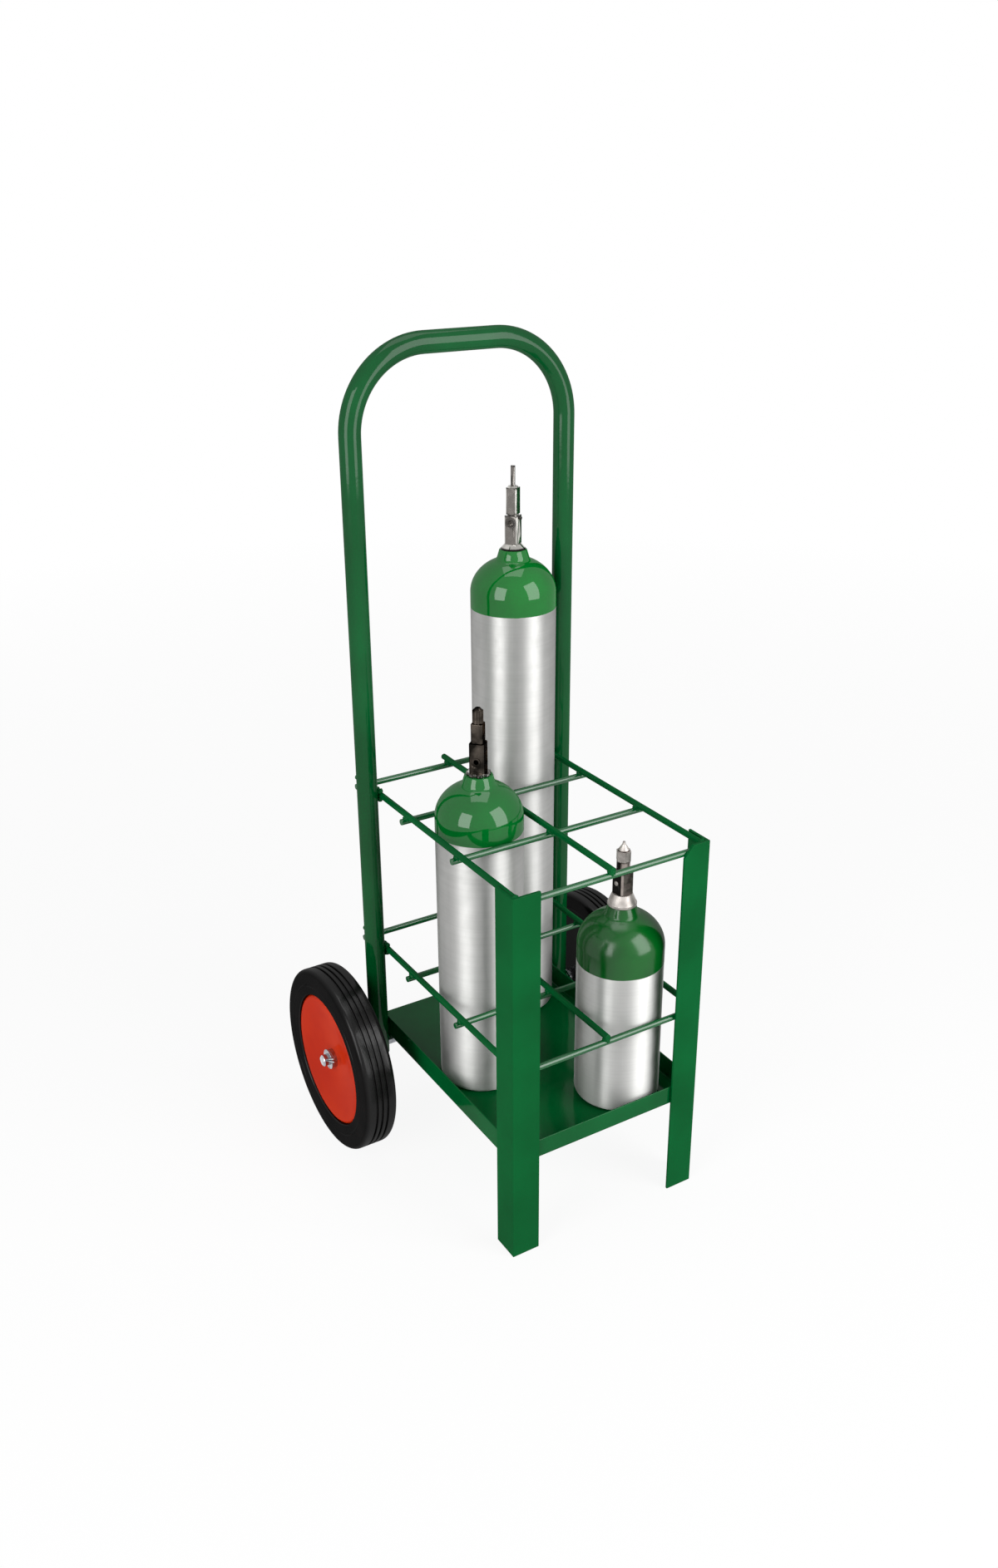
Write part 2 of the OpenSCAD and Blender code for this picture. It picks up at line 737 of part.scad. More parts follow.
handle();
tray();
front_leg_left();
front_leg_right();
upper_long_rod_left();
upper_long_rod_middle();
upper_long_rod_right();
upper_cross_rod_1();
upper_cross_rod_2();
upper_cross_rod_3();
upper_cross_rod_4();
lower_long_rod_left();
lower_long_rod_middle();
lower_long_rod_right();
lower_cross_rod_1();
lower_cross_rod_2();
lower_cross_rod_3();
lower_cross_rod_4();
upper_tier_welds();
lower_tier_welds();
handle_welds();
axle_welds();
axle();
axle_washers();
split_pins();
tyre_left();
outer_disc_left();
inner_disc_left();
hub_tube_left();
hub_bushes_left();
tyre_right();
outer_disc_right();
inner_disc_right();
hub_tube_right();
hub_bushes_right();
tall_shell();
tall_valve_body();
tall_valve_post();
tall_relief_plug();
tall_stem();
medium_shell();
medium_neck_ring();
medium_valve_body();
medium_valve_post();
medium_knob();
short_shell();
short_collar();
short_valve_body();
short_port_plug();
short_gland_nut();
short_spindle();
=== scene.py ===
import json
import math

import bmesh
import bpy
from mathutils import Matrix, Vector


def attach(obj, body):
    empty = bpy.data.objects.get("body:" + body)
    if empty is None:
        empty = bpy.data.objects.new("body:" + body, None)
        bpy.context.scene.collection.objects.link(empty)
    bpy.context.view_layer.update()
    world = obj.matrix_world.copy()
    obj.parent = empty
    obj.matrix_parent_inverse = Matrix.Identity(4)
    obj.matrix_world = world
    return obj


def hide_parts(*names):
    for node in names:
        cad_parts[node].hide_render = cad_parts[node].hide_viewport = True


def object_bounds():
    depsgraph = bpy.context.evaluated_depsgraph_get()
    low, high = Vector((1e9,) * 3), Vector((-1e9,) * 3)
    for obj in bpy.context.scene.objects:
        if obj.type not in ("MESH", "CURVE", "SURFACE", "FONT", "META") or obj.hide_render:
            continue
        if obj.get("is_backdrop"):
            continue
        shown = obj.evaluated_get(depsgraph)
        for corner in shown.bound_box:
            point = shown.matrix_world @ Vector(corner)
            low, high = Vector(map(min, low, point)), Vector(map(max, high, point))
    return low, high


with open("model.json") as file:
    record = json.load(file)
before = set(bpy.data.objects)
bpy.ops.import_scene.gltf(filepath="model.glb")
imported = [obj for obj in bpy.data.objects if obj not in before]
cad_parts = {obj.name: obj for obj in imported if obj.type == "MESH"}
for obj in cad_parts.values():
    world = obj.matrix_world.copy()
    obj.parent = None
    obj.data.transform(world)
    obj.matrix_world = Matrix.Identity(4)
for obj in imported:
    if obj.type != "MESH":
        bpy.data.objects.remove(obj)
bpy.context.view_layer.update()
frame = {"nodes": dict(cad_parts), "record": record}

# Front legs: two lengths of equal angle steel, corner outward, standing on the floor.
# Saw-cut ends, rounded toes, sprayed green; the right one has its inner top corner cut off.
LEG_TOP = 0.511
LEG_OUT = 0.140
LEG_FRONT = -0.2340
LEG_WIDE = 0.038
LEG_THICK = 0.004
LEG_CORNER = 0.0008
LEG_ROOT = 0.0015
TOE_ROUND = 0.0018
SAWN_EDGE = 0.0004
CUT_CORNER = (0.013, 0.016)
ENAMEL_GREEN = (0, 80, 36)
ENAMEL_GREEN_LIGHT = (0, 92, 43)
ORANGE_PEEL = (0.0003, 0.1)
COAT_IOR = 2.2


def linear(colour):
    """A colour as it is written, 0 to 255, for a shader's socket: the sRGB curve undone."""
    part = [c / 255 for c in colour]
    return [c / 12.92 if c <= 0.04045 else ((c + 0.055) / 1.055) ** 2.4 for c in part] + [1.0]


def object_noise(tree, scale, detail=2.0, stretch=(1, 1, 1)):
    """Noise that stays with the piece."""
    place = tree.nodes.new("ShaderNodeTexCoord")
    turn = tree.nodes.new("ShaderNodeMapping")
    turn.inputs["Scale"].default_value = stretch
    cloud = tree.nodes.new("ShaderNodeTexNoise")
    cloud.inputs["Scale"].default_value = scale
    cloud.inputs["Detail"].default_value = detail
    tree.links.new(place.outputs["Object"], turn.inputs["Vector"])
    tree.links.new(turn.outputs["Vector"], cloud.inputs["Vector"])
    return cloud.outputs["Fac"]


def spread(tree, value, low, high, start=0.35, end=0.65):
    """Maps start to end, at first the middle of a noise, to another range."""
    node = tree.nodes.new("ShaderNodeMapRange")
    for name, number in (("From Min", start), ("From Max", end),
                         ("To Min", low), ("To Max", high)):
        node.inputs[name].default_value = number
    tree.links.new(value, node.inputs["Value"])
    return node.outputs["Result"]


def two_tone(tree, value, first, second):
    """Runs from one colour to another; each is a colour or another node's socket."""
    node = tree.nodes.new("ShaderNodeMix")
    node.data_type = "RGBA"
    for socket, colour in ((node.inputs[6], first), (node.inputs[7], second)):
        if hasattr(colour, "links"):
            tree.links.new(colour, socket)
        else:
            socket.default_value = colour
    tree.links.new(value, node.inputs[0])
    return node.outputs[2]


def raise_surface(tree, shader, heights):
    """Bumps the shader's normal by (height socket, depth in metres, strength) in turn."""
    normal = None
    for height, depth, strength in heights:
        bump = tree.nodes.new("ShaderNodeBump")
        bump.inputs["Distance"].default_value = depth
        bump.inputs["Strength"].default_value = strength
        tree.links.new(height, bump.inputs["Height"])
        if normal:
            tree.links.new(normal, bump.inputs["Normal"])
        normal = bump.outputs["Normal"]
    tree.links.new(normal, shader.inputs["Normal"])
    tree.links.new(normal, shader.inputs["Coat Normal"])


def new_finish(name):
    """An empty material with its node tree and its shader."""
    material = bpy.data.materials.new(name)
    material.use_nodes = True
    return material, material.node_tree, material.node_tree.nodes["Principled BSDF"]


def clear_coat(tree, shader, weight, rough):
    """A gloss that stays faint at a glancing view; its roughness wanders."""
    shader.inputs["Specular IOR Level"].default_value = 0.0
    shader.inputs["Coat Weight"].default_value = weight
    shader.inputs["Coat IOR"].default_value = COAT_IOR
    haze = spread(tree, object_noise(tree, scale=34, detail=4), *rough)
    tree.links.new(haze, shader.inputs["Coat Roughness"])


def enamel(name, dark, light, rough, gloss):
    """Sprayed gloss enamel: orange peel and a slow drift in tone and gloss."""
    material, tree, shader = new_finish(name)
    drift = spread(tree, object_noise(tree, scale=9, detail=3), 0, 1)
    tone = two_tone(tree, drift, linear(dark), linear(light))
    tree.links.new(tone, shader.inputs["Base Color"])
    shader.inputs["Roughness"].default_value = 0.5
    clear_coat(tree, shader, gloss, rough)
    peel = object_noise(tree, scale=240, detail=1.5)
    raise_surface(tree, shader, [(peel, *ORANGE_PEEL)])
    return material


green_enamel = enamel("green_enamel", ENAMEL_GREEN, ENAMEL_GREEN_LIGHT,
                      rough=(0.12, 0.22), gloss=0.05)


def arc(cx, cy, r, start, end, steps, tall=None):
    """Points of an arc, or of an ellipse with another height, angles in degrees."""
    turns = [math.radians(start + (end - start) * i / steps) for i in range(steps + 1)]
    return [(cx + r * math.cos(a), cy + (tall or r) * math.sin(a)) for a in turns]


def to_object(name, made, material, sharp=32, bevel=0.0):
    """Turns a bmesh or a mesh into a smooth-shaded object, with its edges eased."""
    if isinstance(made, bmesh.types.BMesh):
        mesh = bpy.data.meshes.new(name)
        made.to_mesh(mesh)
        made.free()
    else:
        mesh = made
    mesh.shade_smooth()
    mesh.set_sharp_from_angle(angle=math.radians(sharp))
    thing = bpy.data.objects.new(name, mesh)
    bpy.context.scene.collection.objects.link(thing)
    if not mesh.materials:
        mesh.materials.append(material)
    if bevel:
        eased = thing.modifiers.new("eased_edges", "BEVEL")
        eased.width = bevel
        eased.segments = 2
        eased.limit_method = "ANGLE"
        eased.angle_limit = math.radians(sharp)
        eased.harden_normals = True
    return thing


def fit(thing, body, finish, *nodes):
    """Hangs a finished piece on its body, in place of these nodes."""
    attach(thing, body)
    if nodes:
        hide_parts(*nodes)


def prism(outline, low, high):
    """A closed outline in X and Y, drawn up from one height to another."""
    form = bmesh.new()
    rings = [[form.verts.new((x, y, z)) for x, y in outline] for z in (low, high)]
    count = len(outline)
    for i in range(count):
        j = (i + 1) % count
        form.faces.new((rings[0][i], rings[0][j], rings[1][j], rings[1][i]))
    form.faces.new(rings[0][::-1])
    form.faces.new(rings[1])
    bmesh.ops.recalc_face_normals(form, faces=form.faces)
    return form


for side, name in ((-1, "left"), (1, "right")):
    inner = LEG_OUT - LEG_THICK
    toe = LEG_OUT - LEG_WIDE
    back = LEG_FRONT + LEG_WIDE
    web = LEG_FRONT + LEG_THICK
    outline = (arc(LEG_OUT - LEG_CORNER, LEG_FRONT + LEG_CORNER, LEG_CORNER, -90, 0, steps=4)
               + [(LEG_OUT, back)]
               + arc(inner + TOE_ROUND, back - TOE_ROUND, TOE_ROUND, 90, 180, steps=5)
               + arc(inner - LEG_ROOT, web + LEG_ROOT, LEG_ROOT, 0, -90, steps=4)
               + arc(toe + TOE_ROUND, web - TOE_ROUND, TOE_ROUND, 90, 180, steps=5)
               + [(toe, LEG_FRONT)])
    leg = prism([(side * x, y) for x, y in outline], 0, LEG_TOP)
    if name == "right":
        wide, deep = CUT_CORNER
        cut = bmesh.ops.bisect_plane(leg, geom=leg.verts[:] + leg.edges[:] + leg.faces[:],
                                     plane_co=(toe, 0, LEG_TOP - deep),
                                     plane_no=Vector((-deep, 0, wide)), clear_outer=True)
        edges = [e for e in cut["geom_cut"] if isinstance(e, bmesh.types.BMEdge)]
        bmesh.ops.contextual_create(leg, geom=edges)
        bmesh.ops.recalc_face_normals(leg, faces=leg.faces)
    fit(to_object("angle_leg_" + name, leg, green_enamel, bevel=SAWN_EDGE), "cart",
        "green_enamel", "front_leg_" + name)

# Tray: one folded sheet-steel pan with lips at the front and both sides and an open back edge.
# The corners are welded and dressed; it lies inside the legs and on the axle, sprayed green.
PAN_X = 0.136
PAN_FRONT = -0.2300
PAN_BACK = 0.1560
PAN_Z = 0.136
PAN_SHEET = 0.002
PAN_EDGE = 0.0009
SIDE_LIP = 0.031
FRONT_LIP = 0.027
PAN_FOLD = 0.004
PAN_CORNER = 0.006
SIDE_STEPS = 7
CORNER_STEPS = 8
LIP_STEPS = 5
FOLD_STEPS = 6


def pan_rim():
    """Plan points of the pan's outer side with inward direction and lip height."""
    side_long = PAN_FRONT + PAN_CORNER - PAN_BACK
    points = [(-PAN_X, PAN_BACK + side_long * i / SIDE_STEPS, 1, 0, SIDE_LIP)
              for i in range(SIDE_STEPS)]
    for i in range(CORNER_STEPS + 1):
        a = math.radians(180 + 90 * i / CORNER_STEPS)
        lip = SIDE_LIP + (FRONT_LIP - SIDE_LIP) * min(1, i / LIP_STEPS)
        points.append((-PAN_X + PAN_CORNER + PAN_CORNER * math.cos(a),
                       PAN_FRONT + PAN_CORNER + PAN_CORNER * math.sin(a),
                       -math.cos(a), -math.sin(a), lip))
    mirrored = [(-x, y, -nx, ny, lip) for x, y, nx, ny, lip in points[::-1]]
    return points + mirrored


pan = bmesh.new()
fold = arc(PAN_FOLD, PAN_Z + PAN_FOLD, PAN_FOLD, 180, 270, FOLD_STEPS)
strips = [[pan.verts.new((x + nx * d, y + ny * d, z)) for d, z in [(0, PAN_Z + lip)] + fold]
          for x, y, nx, ny, lip in pan_rim()]
for first, second in zip(strips, strips[1:]):
    for i in range(len(first) - 1):
        pan.faces.new((first[i], first[i + 1], second[i + 1], second[i]))
pan.faces.new([strip[-1] for strip in strips][::-1])
bmesh.ops.recalc_face_normals(pan, faces=pan.faces)
floor_face = max(pan.faces, key=lambda f: f.calc_area())
if floor_face.normal.z > 0:
    bmesh.ops.reverse_faces(pan, faces=pan.faces)
tray_enamel = enamel("tray_enamel", ENAMEL_GREEN, ENAMEL_GREEN_LIGHT,
                     rough=(0.06, 0.12), gloss=0.1)
skin = to_object("pan_skin", pan, tray_enamel)
sheet_wall = skin.modifiers.new("sheet", "SOLIDIFY")
sheet_wall.thickness = PAN_SHEET
sheet_wall.offset = -1
ready = skin.evaluated_get(bpy.context.evaluated_depsgraph_get())
folded = bpy.data.meshes.new_from_object(ready)
bpy.data.objects.remove(skin)
fit(to_object("pan_tray", folded, tray_enamel, bevel=PAN_EDGE), "cart", "green_enamel", "tray")

# Rods: 8 mm round bar cut to length, three long rods lying on four cross rods in each tier.
# Cropped ends stand past the crossings; the whole tier was sprayed with the cart.
ROD_R = 0.004
ROD_SIDES = 24
ROD_EDGE = 0.0006
CROSS_Y = [-0.226, -0.098, 0.030, 0.158]
LONG_X = {"left": -0.132, "middle": 0.0, "right": 0.132}
TIER_Z = {"upper": 0.507, "lower": 0.276}
ROD_FRONT = -0.2300
ROD_BACK = 0.1710
CROSS_END = 0.141


def node_tree(name, sockets):
    """An empty geometry tree with named inputs."""
    tree = bpy.data.node_groups.new(name, "GeometryNodeTree")
    tree.interface.new_socket("Geometry", in_out="INPUT", socket_type="NodeSocketGeometry")
    for label, kind, start in sockets:
        socket = tree.interface.new_socket(label, in_out="INPUT", socket_type=kind)
        socket.default_value = start
    tree.interface.new_socket("Geometry", in_out="OUTPUT", socket_type="NodeSocketGeometry")
    return tree, tree.nodes.new("NodeGroupInput"), tree.nodes.new("NodeGroupOutput")


def bar_tree(name, material, caps):
    """Round bar or tube along a path of edges."""
    tree, given, made = node_tree(name, [("Radius", "NodeSocketFloat", ROD_R),
                                         ("Sides", "NodeSocketInt", ROD_SIDES)])
    path = tree.nodes.new("GeometryNodeMeshToCurve")
    ring = tree.nodes.new("GeometryNodeCurvePrimitiveCircle")
    sweep = tree.nodes.new("GeometryNodeCurveToMesh")
    sweep.inputs["Fill Caps"].default_value = caps
    real = tree.nodes.new("GeometryNodeRealizeInstances")
    paint = tree.nodes.new("GeometryNodeSetMaterial")
    paint.inputs["Material"].default_value = material
    link = tree.links.new
    link(given.outputs["Geometry"], path.inputs["Mesh"])
    link(given.outputs["Radius"], ring.inputs["Radius"])
    link(given.outputs["Sides"], ring.inputs["Resolution"])
    link(path.outputs["Curve"], sweep.inputs["Curve"])
    link(ring.outputs["Curve"], sweep.inputs["Profile Curve"])
    link(sweep.outputs["Mesh"], real.inputs["Geometry"])
    link(real.outputs["Geometry"], paint.inputs["Geometry"])
    link(paint.outputs["Geometry"], made.inputs["Geometry"])
    return tree


def grow(name, points, tree, edges=True, **sizes):
    """Runs a tree on points, joined by edges or loose, and returns the plain mesh."""
    base = bpy.data.meshes.new(name + "_base")
    pairs = [(i, i + 1) for i in range(len(points) - 1)] if edges else []
    base.from_pydata(points, pairs, [])
    seed = bpy.data.objects.new(name + "_base", base)
    bpy.context.scene.collection.objects.link(seed)
    maker = seed.modifiers.new("maker", "NODES")
    maker.node_group = tree
    for item in tree.interface.items_tree:
        if item.item_type == "SOCKET" and item.in_out == "INPUT" and item.name in sizes:
            maker[item.identifier] = sizes[item.name]
    ready = seed.evaluated_get(bpy.context.evaluated_depsgraph_get())
    mesh = bpy.data.meshes.new_from_object(ready)
    mesh.name = name
    seed.modifiers.remove(maker)
    bpy.data.objects.remove(seed)
    form = bmesh.new()
    form.from_mesh(mesh)
    bmesh.ops.recalc_face_normals(form, faces=form.faces)
    form.to_mesh(mesh)
    form.free()
    return mesh


bar_enamel = enamel("bar_enamel", ENAMEL_GREEN, ENAMEL_GREEN_LIGHT,
                    rough=(0.05, 0.14), gloss=0.36)
long_bar = bar_tree("long_bar", green_enamel, caps=True)
cross_bar = bar_tree("cross_bar", bar_enamel, caps=True)
for tier, z in TIER_Z.items():
    for side, x in LONG_X.items():
        rod = grow("rod", [(x, ROD_FRONT, z), (x, ROD_BACK, z)], long_bar,
                   Radius=ROD_R, Sides=ROD_SIDES)
        fit(to_object("%s_long_bar_%s" % (tier, side), rod, green_enamel, bevel=ROD_EDGE),
            "cart", "green_enamel", "%s_long_rod_%s" % (tier, side))
    for i, y in enumerate(CROSS_Y):
        end = PAN_X if i == 0 else CROSS_END
        low = z - 2 * ROD_R
        rod = grow("rod", [(-end, y, low), (end, y, low)], cross_bar,
                   Radius=ROD_R, Sides=ROD_SIDES)
        fit(to_object("%s_cross_bar_%d" % (tier, i + 1), rod, bar_enamel, bevel=ROD_EDGE),
            "cart", "green_enamel", "%s_cross_rod_%d" % (tier, i + 1))

# Push handle: one length of 27 mm steel tube with two round bends, its legs drilled for the
# axle. The tube is swept along its own centre line, open at the lower ends, and sprayed green.
TUBE_R = 0.01335
TUBE_WALL = 0.002
TUBE_SIDES = 48
HANDLE_X = 0.14935
HANDLE_Z = 1.065
BEND_R = 0.100
AXLE_Y = 0.106
AXLE_Z = 0.128
HANDLE_FOOT = 0.113
STRAIGHT_STEPS = 12
BEND_STEPS = 28

straight = HANDLE_Z - BEND_R - HANDLE_FOOT
half = [(HANDLE_X, HANDLE_FOOT + straight * i / STRAIGHT_STEPS) for i in range(STRAIGHT_STEPS)]
half += arc(HANDLE_X - BEND_R, HANDLE_Z - BEND_R, BEND_R, 0, 90, BEND_STEPS)
centre_line = [(x, AXLE_Y, z) for x, z in half] + [(-x, AXLE_Y, z) for x, z in half[::-1]]
# The handle's green is a darker copy of the cart's enamel: painted shade.
shaded_tube_enamel = enamel("shaded_tube_enamel", dark=(0, 72, 31), light=(0, 84, 38),
                     rough=(0.05, 0.12), gloss=0.13)
green_tube = bar_tree("green_tube", shaded_tube_enamel, caps=False)
swept = grow("handle", centre_line, green_tube, Radius=TUBE_R, Sides=TUBE_SIDES)
handle = to_object("tube_handle", swept, shaded_tube_enamel)
tube_wall = handle.modifiers.new("tube_wall", "SOLIDIFY")
tube_wall.thickness = TUBE_WALL
tube_wall.offset = -1
fit(handle, "cart", "green_enamel", "handle")

# Weld beads: small lumps of weld metal at every crossing, at the handle and at the legs.
# They are instances of one lumpy bead, each turned and sized a little differently.
CROSSING_BEAD = 0.0053
LEG_BEAD = 0.0045
HANDLE_BEAD = 0.0036
BEAD_LUMPS = 0.003
BEAD_TURN = 6.28
BEAD_SIZES = (0.88, 1.08)
LUMP_SCALE = 380
LONG_ROD_SPOT = (0.1325, -0.2270)
LONG_ROD_RISES = (-0.004, 0.0005)
CROSS_ROD_SPOT = (0.1335, CROSS_Y[0])
CROSS_ROD_DROP = 0.0085
HANDLE_SPOT = (0.1332, AXLE_Y)
HANDLE_RISES = (-0.0055, 0.0055)
HANDLE_ASIDE = (-0.004, 0.004)


def bead_tree(name, material):
    """A lumpy bead on every point."""
    tree, given, made = node_tree(name, [("Size", "NodeSocketFloat", CROSSING_BEAD),
                                         ("Lumps", "NodeSocketFloat", BEAD_LUMPS),
                                         ("Seed", "NodeSocketInt", 0)])
    ball = tree.nodes.new("GeometryNodeMeshIcoSphere")
    ball.inputs["Subdivisions"].default_value = 4
    turn = tree.nodes.new("FunctionNodeRandomValue")
    turn.data_type = "FLOAT_VECTOR"
    turn.inputs[1].default_value = (BEAD_TURN, BEAD_TURN, BEAD_TURN)
    size = tree.nodes.new("FunctionNodeRandomValue")
    size.data_type = "FLOAT"
    size.inputs[2].default_value, size.inputs[3].default_value = BEAD_SIZES
    copies = tree.nodes.new("GeometryNodeInstanceOnPoints")
    real = tree.nodes.new("GeometryNodeRealizeInstances")
    lumps = tree.nodes.new("ShaderNodeTexNoise")
    lumps.inputs["Scale"].default_value = LUMP_SCALE
    lumps.inputs["Detail"].default_value = 1
    centre = tree.nodes.new("ShaderNodeMath")
    centre.operation = "SUBTRACT"
    centre.inputs[1].default_value = 0.5
    depth = tree.nodes.new("ShaderNodeMath")
    depth.operation = "MULTIPLY"
    outward = tree.nodes.new("GeometryNodeInputNormal")
    shift = tree.nodes.new("ShaderNodeVectorMath")
    shift.operation = "SCALE"
    move = tree.nodes.new("GeometryNodeSetPosition")
    paint = tree.nodes.new("GeometryNodeSetMaterial")
    paint.inputs["Material"].default_value = material
    link = tree.links.new
    link(given.outputs["Size"], ball.inputs["Radius"])
    link(given.outputs["Seed"], turn.inputs["Seed"])
    link(given.outputs["Seed"], size.inputs["Seed"])
    link(given.outputs["Geometry"], copies.inputs["Points"])
    link(ball.outputs["Mesh"], copies.inputs["Instance"])
    link(turn.outputs[0], copies.inputs["Rotation"])
    link(size.outputs[1], copies.inputs["Scale"])
    link(copies.outputs["Instances"], real.inputs["Geometry"])
    link(real.outputs["Geometry"], move.inputs["Geometry"])
    link(lumps.outputs["Fac"], centre.inputs[0])
    link(centre.outputs[0], depth.inputs[0])
    link(given.outputs["Lumps"], depth.inputs[1])
    link(outward.outputs["Normal"], shift.inputs[0])
    link(depth.outputs[0], shift.inputs["Scale"])
    link(shift.outputs[0], move.inputs["Offset"])
    link(move.outputs["Geometry"], paint.inputs["Geometry"])
    link(paint.outputs["Geometry"], made.inputs["Geometry"])
    return tree


weld_beads = bead_tree("weld_beads", green_enamel)


def lay_beads(name, spots, size, seed, *nodes):
    """One piece of weld beads on these spots, fixed to the cart."""
    beads = grow("beads", spots, weld_beads, edges=False, Size=size, Lumps=BEAD_LUMPS, Seed=seed)
    fit(to_object(name, beads, green_enamel, sharp=60), "cart", "green_enamel", *nodes)


for tier, z in TIER_Z.items():
    spots = [(x, y, z - ROD_R) for x in LONG_X.values() for y in CROSS_Y[1:]]
    spots.append((0, CROSS_Y[0], z - ROD_R))
    lay_beads(tier + "_crossing_beads", spots, CROSSING_BEAD, len(tier) + 3,
              tier + "_tier_welds")
x, y = LONG_ROD_SPOT
spots = [(s * x, y, z + dz) for s in (-1, 1) for z in TIER_Z.values() for dz in LONG_ROD_RISES]
x, y = CROSS_ROD_SPOT
spots += [(s * x, y, z - CROSS_ROD_DROP) for s in (-1, 1) for z in TIER_Z.values()]
lay_beads("leg_beads", spots, LEG_BEAD, 5)
x, y = HANDLE_SPOT
spots = [(s * x, y + dy, z + dz) for s in (-1, 1) for z in TIER_Z.values()
         for dz in HANDLE_RISES for dy in HANDLE_ASIDE]
lay_beads("handle_beads", spots, HANDLE_BEAD, 8, "handle_welds")

# Axle: a plated round bar right through the handle's legs, under the tray, with chamfered ends.
# Flat washers lie each side of the hubs, and a bent wire split pin holds each wheel on.
AXLE_R = 0.008
AXLE_END = 0.2380
AXLE_CHAMFER = 0.0015
AXLE_GAP = 0.0001
AXLE_SIDES = 40
PLATED_EDGE = 0.0003
WASHER_R = 0.014
WASHER_FACES = ((0.1660, 0.1680), (0.2270, 0.2290))
WASHER_SIDES = 48
PIN_X = 0.2335
PIN_WIRE = 0.0009
PIN_GAP = 0.00092
PIN_SHANK = 0.011
PIN_NECK = 0.001
PIN_EYE = 0.0034
PIN_EYE_OPEN = 22
PIN_EYE_STEPS = 20
PIN_REACH = 0.037
PIN_SPREAD = 3
PIN_TURN = math.radians(60)
MARK_DEPTH = 0.0002
ON_AXIS = 1e-7


def metal(name, dark, light, rough, stretch=(1, 1, 1), edge=1.0, marks=0.12, grain=4):
    """Bare or plated metal: turning marks, handling smudges, a slow drift in tone."""
    material, tree, shader = new_finish(name)
    shader.inputs["Metallic"].default_value = 1.0
    shader.inputs["Specular Tint"].default_value = (edge, edge, edge, 1)
    drift = spread(tree, object_noise(tree, scale=60, detail=grain), 0, 1)
    tone = two_tone(tree, drift, linear(dark), linear(light))
    tree.links.new(tone, shader.inputs["Base Color"])
    smudge = spread(tree, object_noise(tree, scale=140, detail=grain), *rough)
    tree.links.new(smudge, shader.inputs["Roughness"])
    turning = object_noise(tree, scale=900, detail=2, stretch=stretch)
    raise_surface(tree, shader, [(turning, MARK_DEPTH, marks)])
    return material


zinc_plate = metal("zinc_plate", dark=(122, 124, 130), light=(208, 210, 214),
                   rough=(0.14, 0.3), stretch=(6, 1, 1))


def lathe(outline, steps, centre=(0, 0, 0), axis="Z"):
    """Turns an outline of (radius, height) points; points on the axis become poles."""
    form = bmesh.new()
    turns = [2 * math.pi * i / steps for i in range(steps)]
    rings = []
    for r, h in outline:
        if r < ON_AXIS:
            rings.append([form.verts.new((0, 0, h))])
        else:
            rings.append([form.verts.new((r * math.cos(a), r * math.sin(a), h)) for a in turns])
    closed = outline[0][0] > ON_AXIS and outline[-1][0] > ON_AXIS
    pairs = list(zip(rings, rings[1:])) + ([(rings[-1], rings[0])] if closed else [])
    for a, b in pairs:
        for i in range(steps):
            j = (i + 1) % steps
            corners = [a[i % len(a)], a[j % len(a)], b[j % len(b)], b[i % len(b)]]
            form.faces.new([v for k, v in enumerate(corners) if v not in corners[:k]])
    turn = {"Z": Matrix.Identity(4), "X": Matrix.Rotation(math.radians(90), 4, "Y"),
            "-X": Matrix.Rotation(math.radians(-90), 4, "Y")}[axis]
    bmesh.ops.transform(form, matrix=Matrix.Translation(centre) @ turn, verts=form.verts)
    bmesh.ops.recalc_face_normals(form, faces=form.faces)
    return form


def join(forms):
    """One bmesh of several."""
    whole = bmesh.new()
    for form in forms:
        part = bpy.data.meshes.new("part")
        form.to_mesh(part)
        form.free()
        whole.from_mesh(part)
        bpy.data.meshes.remove(part)
    return whole


axle_line = (0, AXLE_Y, AXLE_Z)
reach = AXLE_END - AXLE_CHAMFER
tip_r = AXLE_R - AXLE_CHAMFER
axle = lathe([(0, -AXLE_END), (tip_r, -AXLE_END), (AXLE_R, -reach), (AXLE_R, reach),
              (tip_r, AXLE_END), (0, AXLE_END)], AXLE_SIDES, axle_line, "X")
fit(to_object("axle_bar", axle, zinc_plate, bevel=PLATED_EDGE), "cart", "plated_steel", "axle")

bore = AXLE_R + AXLE_GAP
washers = join([lathe([(bore, a), (WASHER_R, a), (WASHER_R, b), (bore, b)], WASHER_SIDES,
                      axle_line, way) for a, b in WASHER_FACES for way in ("X", "-X")])
fit(to_object("flat_washers", washers, zinc_plate, bevel=PLATED_EDGE), "cart", "plated_steel",
    "axle_washers")

opened = (PIN_REACH - PIN_SHANK) * math.tan(math.radians(PIN_SPREAD))
wire = [(PIN_REACH, PIN_WIRE + opened), (PIN_SHANK, PIN_GAP), (PIN_NECK - PIN_SHANK, PIN_GAP)]
wire += arc(-PIN_SHANK - PIN_EYE, 0, PIN_EYE, PIN_EYE_OPEN, 360 - PIN_EYE_OPEN, PIN_EYE_STEPS)
wire += [(w, -s) for w, s in wire[2::-1]]
along = (-math.sin(PIN_TURN), math.cos(PIN_TURN))
across = (math.cos(PIN_TURN), math.sin(PIN_TURN))
pin_wire = bar_tree("pin_wire", zinc_plate, caps=True)
pins = []
for side in (-1, 1):
    points = [(side * PIN_X, AXLE_Y + w * along[0] + s * across[0],
               AXLE_Z + w * along[1] + s * across[1]) for w, s in wire]
    form = bmesh.new()
    form.from_mesh(grow("pin", points, pin_wire, Radius=PIN_WIRE, Sides=12))
    pins.append(form)
fit(to_object("wire_split_pins", join(pins), zinc_plate, sharp=50), "cart", "plated_steel",
    "split_pins")

